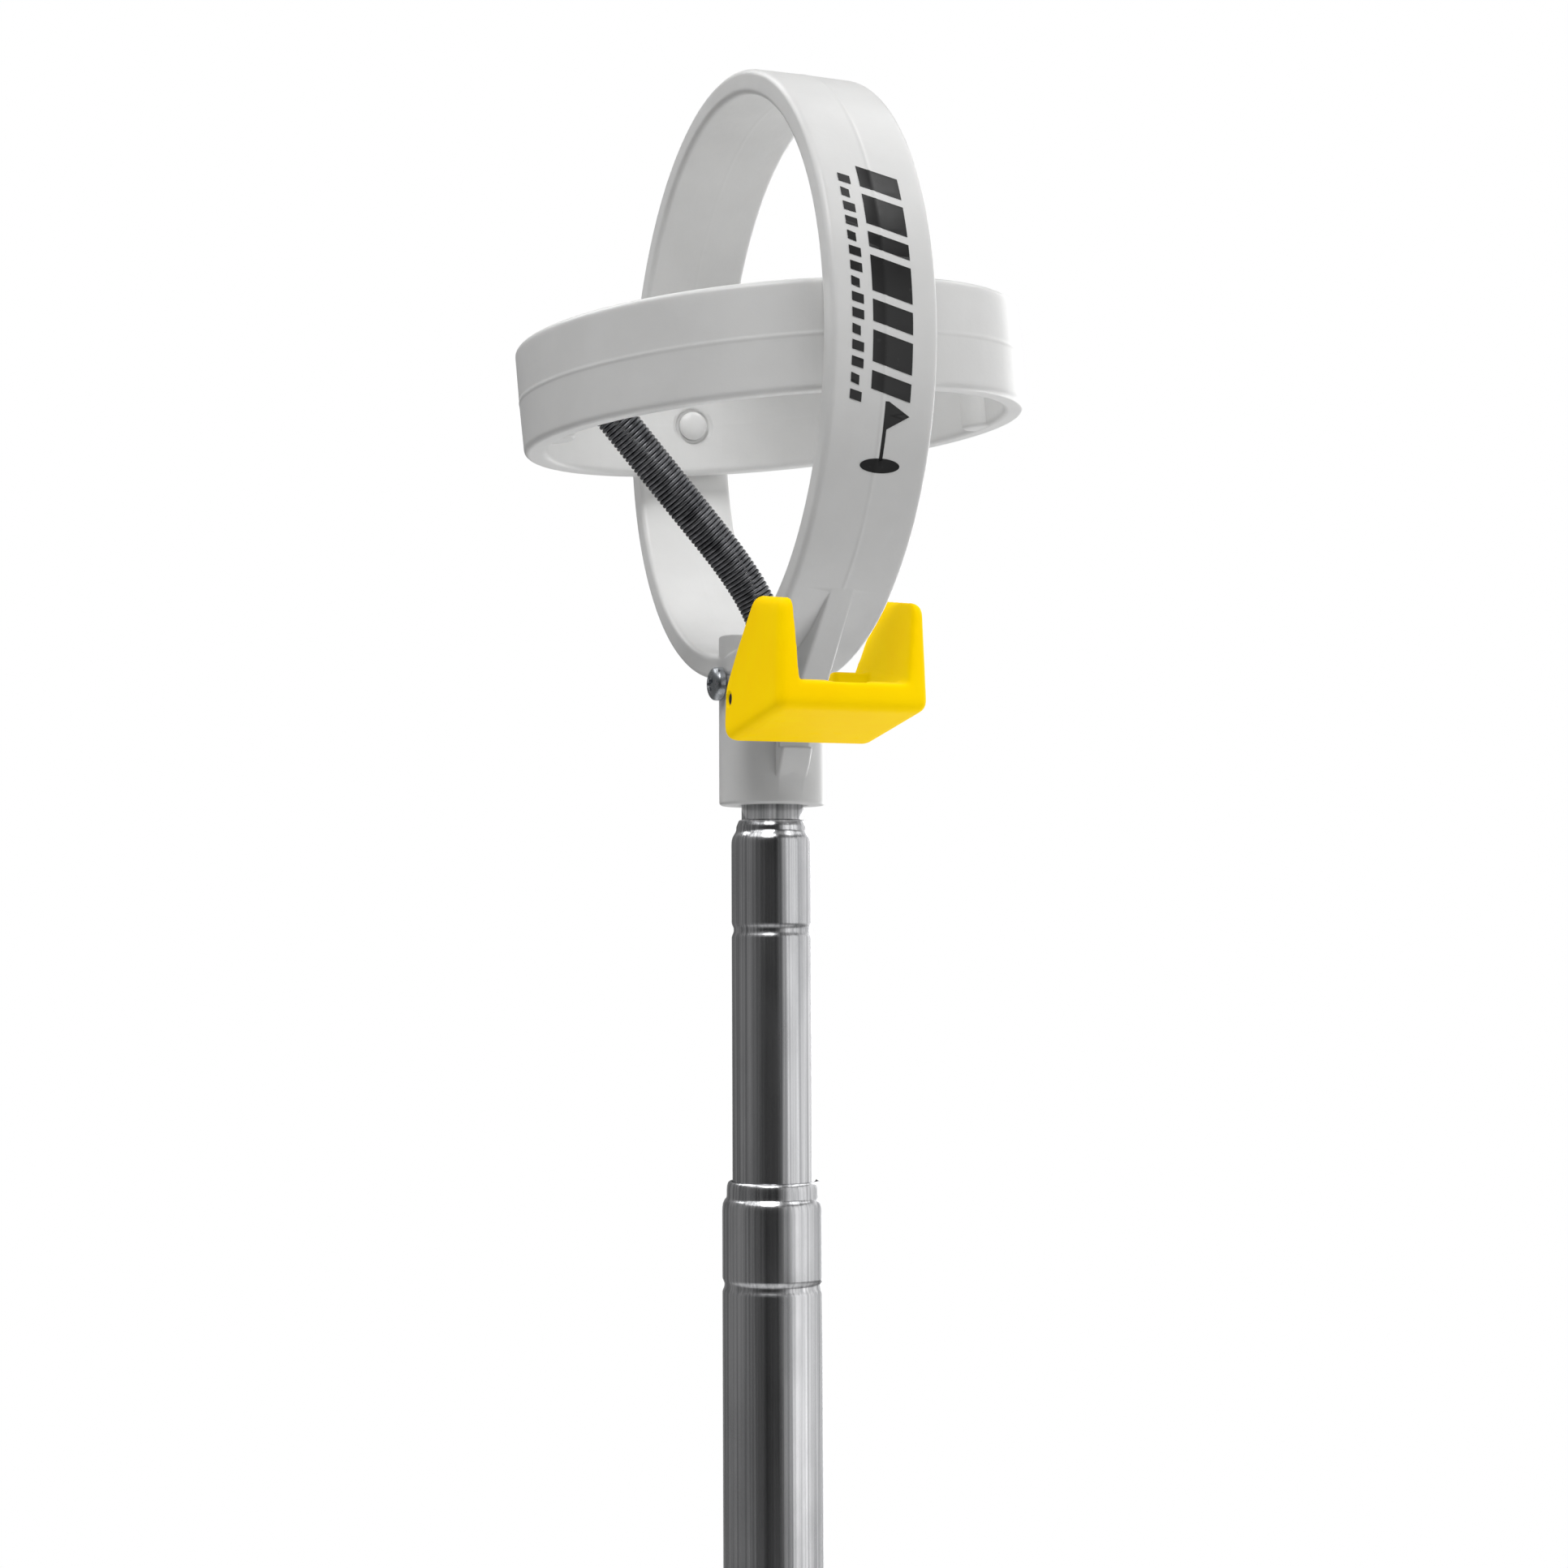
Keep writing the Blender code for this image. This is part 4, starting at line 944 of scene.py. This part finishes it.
def butt_cap(plastic):
    """Cap with a rounded rim, a shallow dish and a vent hole in its base."""
    radius, top, spigot_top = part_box("butt_cap")[1].x / MM, 5.7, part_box("butt_cap")[1].z / MM
    profile = [(0.8, spigot_top), (3.7, spigot_top), (4.0, spigot_top - 0.3), (4.0, top)]
    profile += reversed(corner((radius - 0.6, top - 0.6), 0.6, 0, 90))
    profile += [(radius, 3.4), (radius - 0.25, 3.2), (radius - 0.25, 2.9), (radius, 2.7)]
    profile += reversed(corner((radius - 1.5, 1.5), 1.5, 270, 360, 8))
    profile += [(9.0, 0.0), (8.6, 0.35), (2.0, 0.45), (0.8, 0.5)]
    cap = sharpen(lathe("butt_cap_turned", profile, plastic, 96, FROM_FLOOR))
    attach(cap, "handle")
    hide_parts("butt_cap")


def finish_kept_nodes(guide):
    """Guides that stay as packed get their finish."""
    names = [f"mouth_sleeve_{i}" for i in range(2, 6)] + [f"friction_bush_{i}" for i in range(1, 5)]
    for name in names + ["end_plug"]:
        for slot in frame["nodes"][name].material_slots:
            slot.material = guide


# Studio


def stage_floor():
    """A pale disc that fades out towards its edge."""
    shape = bmesh.new()
    bmesh.ops.create_circle(shape, cap_ends=True, segments=128, radius=0.85)
    made, add, shader, place, _ = new_material("pale_floor")
    cloud = add(NOISE, Vector=place, Scale=1 / (60 * MM), Detail=3, Roughness=GRAIN)
    tone = add(MIX, COLOURS, in0=cloud, in6=srgb("#ececec"), in7=srgb("#f2f2f2"))
    connect(shader, Base_Color=tone, Roughness=0.6)
    away = add(VECTOR_MATH, {"operation": "LENGTH"}, in0=place)
    fade = add(RAMP, stops=((0.4, 0.0), (0.8, 1.0)), Fac=away)
    clear = add("ShaderNodeBsdfTransparent", Color=srgb("#ffffff"))
    soft = add("ShaderNodeMixShader", in0=fade, in1=shader.outputs[0], in2=clear)
    connect(made.node_tree.nodes["Material Output"], Surface=soft)
    just_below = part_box("butt_cap")[0].z - 0.2 * MM
    to_object("floor", shape, made, Matrix.Translation((0, 0, just_below)))


def backdrop():
    """White surround that only the camera sees, so that it doesn't light the object."""
    shape = bmesh.new()
    bmesh.ops.create_icosphere(shape, subdivisions=4, radius=12)
    made, add, shader, _, _ = new_material("white_backdrop")
    glow = add("ShaderNodeEmission", Color=srgb("#ffffff"), Strength=1.0)
    connect(made.node_tree.nodes["Material Output"], Surface=glow)
    made.node_tree.nodes.remove(shader)
    dome = to_object("backdrop", shape, made)
    dome.visible_diffuse = dome.visible_glossy = dome.visible_shadow = False
    dome.visible_transmission = dome.visible_volume_scatter = False


def softbox(name, azimuth, elevation, width, height, watts):
    """An area light at degrees round from the front and degrees up from level, facing the head."""
    data = bpy.data.lights.new(name, "AREA")
    data.shape, data.size, data.size_y, data.energy = "RECTANGLE", width, height, watts
    lamp = bpy.data.objects.new(name, data)
    turn, rise = math.radians(azimuth), math.radians(elevation)
    flat = math.cos(rise)
    out = Vector((math.sin(turn) * flat, -math.cos(turn) * flat, math.sin(rise)))
    lamp.location = HEAD + out * SOFTBOX_DISTANCE
    aim = HEAD + Vector((0, 0, -0.05)) - lamp.location
    lamp.rotation_euler = aim.to_track_quat("-Z", "Y").to_euler()
    lamp.visible_camera = False
    bpy.context.scene.collection.objects.link(lamp)


def studio():
    """Softboxes above and round the right side, in a dim room that is darkest in front."""
    softbox("front_top", -35, 50, 0.45, 0.45, 4.2)
    softbox("front_right_top", 50, 50, 0.3, 0.3, 0.8)
    softbox("left_top", -82, 50, 0.55, 0.55, 1.2)
    softbox("back_left_top", -142, 50, 0.55, 0.55, 3.2)
    softbox("right_top", 98, 50, 0.55, 0.55, 1.8)
    softbox("right_front", 12, 0, 0.4, 0.9, 0.42)
    softbox("right_near", 35, 0, 0.55, 0.9, 1.2)
    softbox("right_middle", 62, 0, 0.55, 0.9, 1.1)
    softbox("right_far", 93, 0, 0.55, 0.9, 1.0)
    softbox("back_right", 128, 0, 0.55, 0.9, 4.8)
    softbox("back_low", 158, -22, 0.55, 0.55, 0.5)
    world = bpy.data.worlds.new("studio_room")
    bpy.context.scene.world = world
    world.use_nodes = True
    add = partial(add_node, world.node_tree)
    way = add("ShaderNodeTexCoord").node.outputs["Generated"]
    facing = add(VECTOR_MATH, {"operation": "DOT_PRODUCT"}, in0=way, in1=DARK_SIDE)
    room = add(RAMP, stops=((0.5, 0.17), (0.93, 0.03)), Fac=facing)
    connect(world.node_tree.nodes["Background"], Color=room)


def camera():
    """Seen from a little below and to the left of the hoop's front, close to the head."""
    data = bpy.data.cameras.new("camera")
    data.sensor_width, data.lens = 36.0, 60.65
    data.clip_start, data.clip_end = 0.01, 100.0
    data.dof.use_dof = False
    obj = bpy.data.objects.new("camera", data)
    bpy.context.scene.collection.objects.link(obj)
    obj.location = HEAD + Vector((-142.4, -357.7, -81.56)) * MM
    aim = HEAD + Vector((2.87, 2.55, -58.72)) * MM
    look = (aim - obj.location).to_track_quat("-Z", "Y")
    roll = Matrix.Rotation(math.radians(-0.25), 3, "Z")
    obj.rotation_euler = (look.to_matrix() @ roll).to_euler()
    bpy.context.scene.camera = obj


WHITE = moulded_plastic("white_nylon", "#f2f2f1", "#ebebea", 0.34, 0.4, 0.05)
STEEL = stainless_tube()
RUBBER = grip_rubber()
PLASTIC = black_plastic()

camera()
stage_floor()
backdrop()
studio()
head_hoop(WHITE)
catch_ring(WHITE)
pivot_pins(WHITE)
catch_spring(spring_steel())
spring_screw(plated_steel())
latch_clip(yellow_nylon())
latch_pin(blackened_steel())
hoop_print(printing_ink())
for tube_number in TUBE_RADII:
    shaft_tube(tube_number, STEEL)
grip(RUBBER)
grip_pips(RUBBER)
grip_collar(PLASTIC)
butt_cap(PLASTIC)
finish_kept_nodes(acetal_guide())
bpy.context.scene.view_settings.view_transform = "Standard"
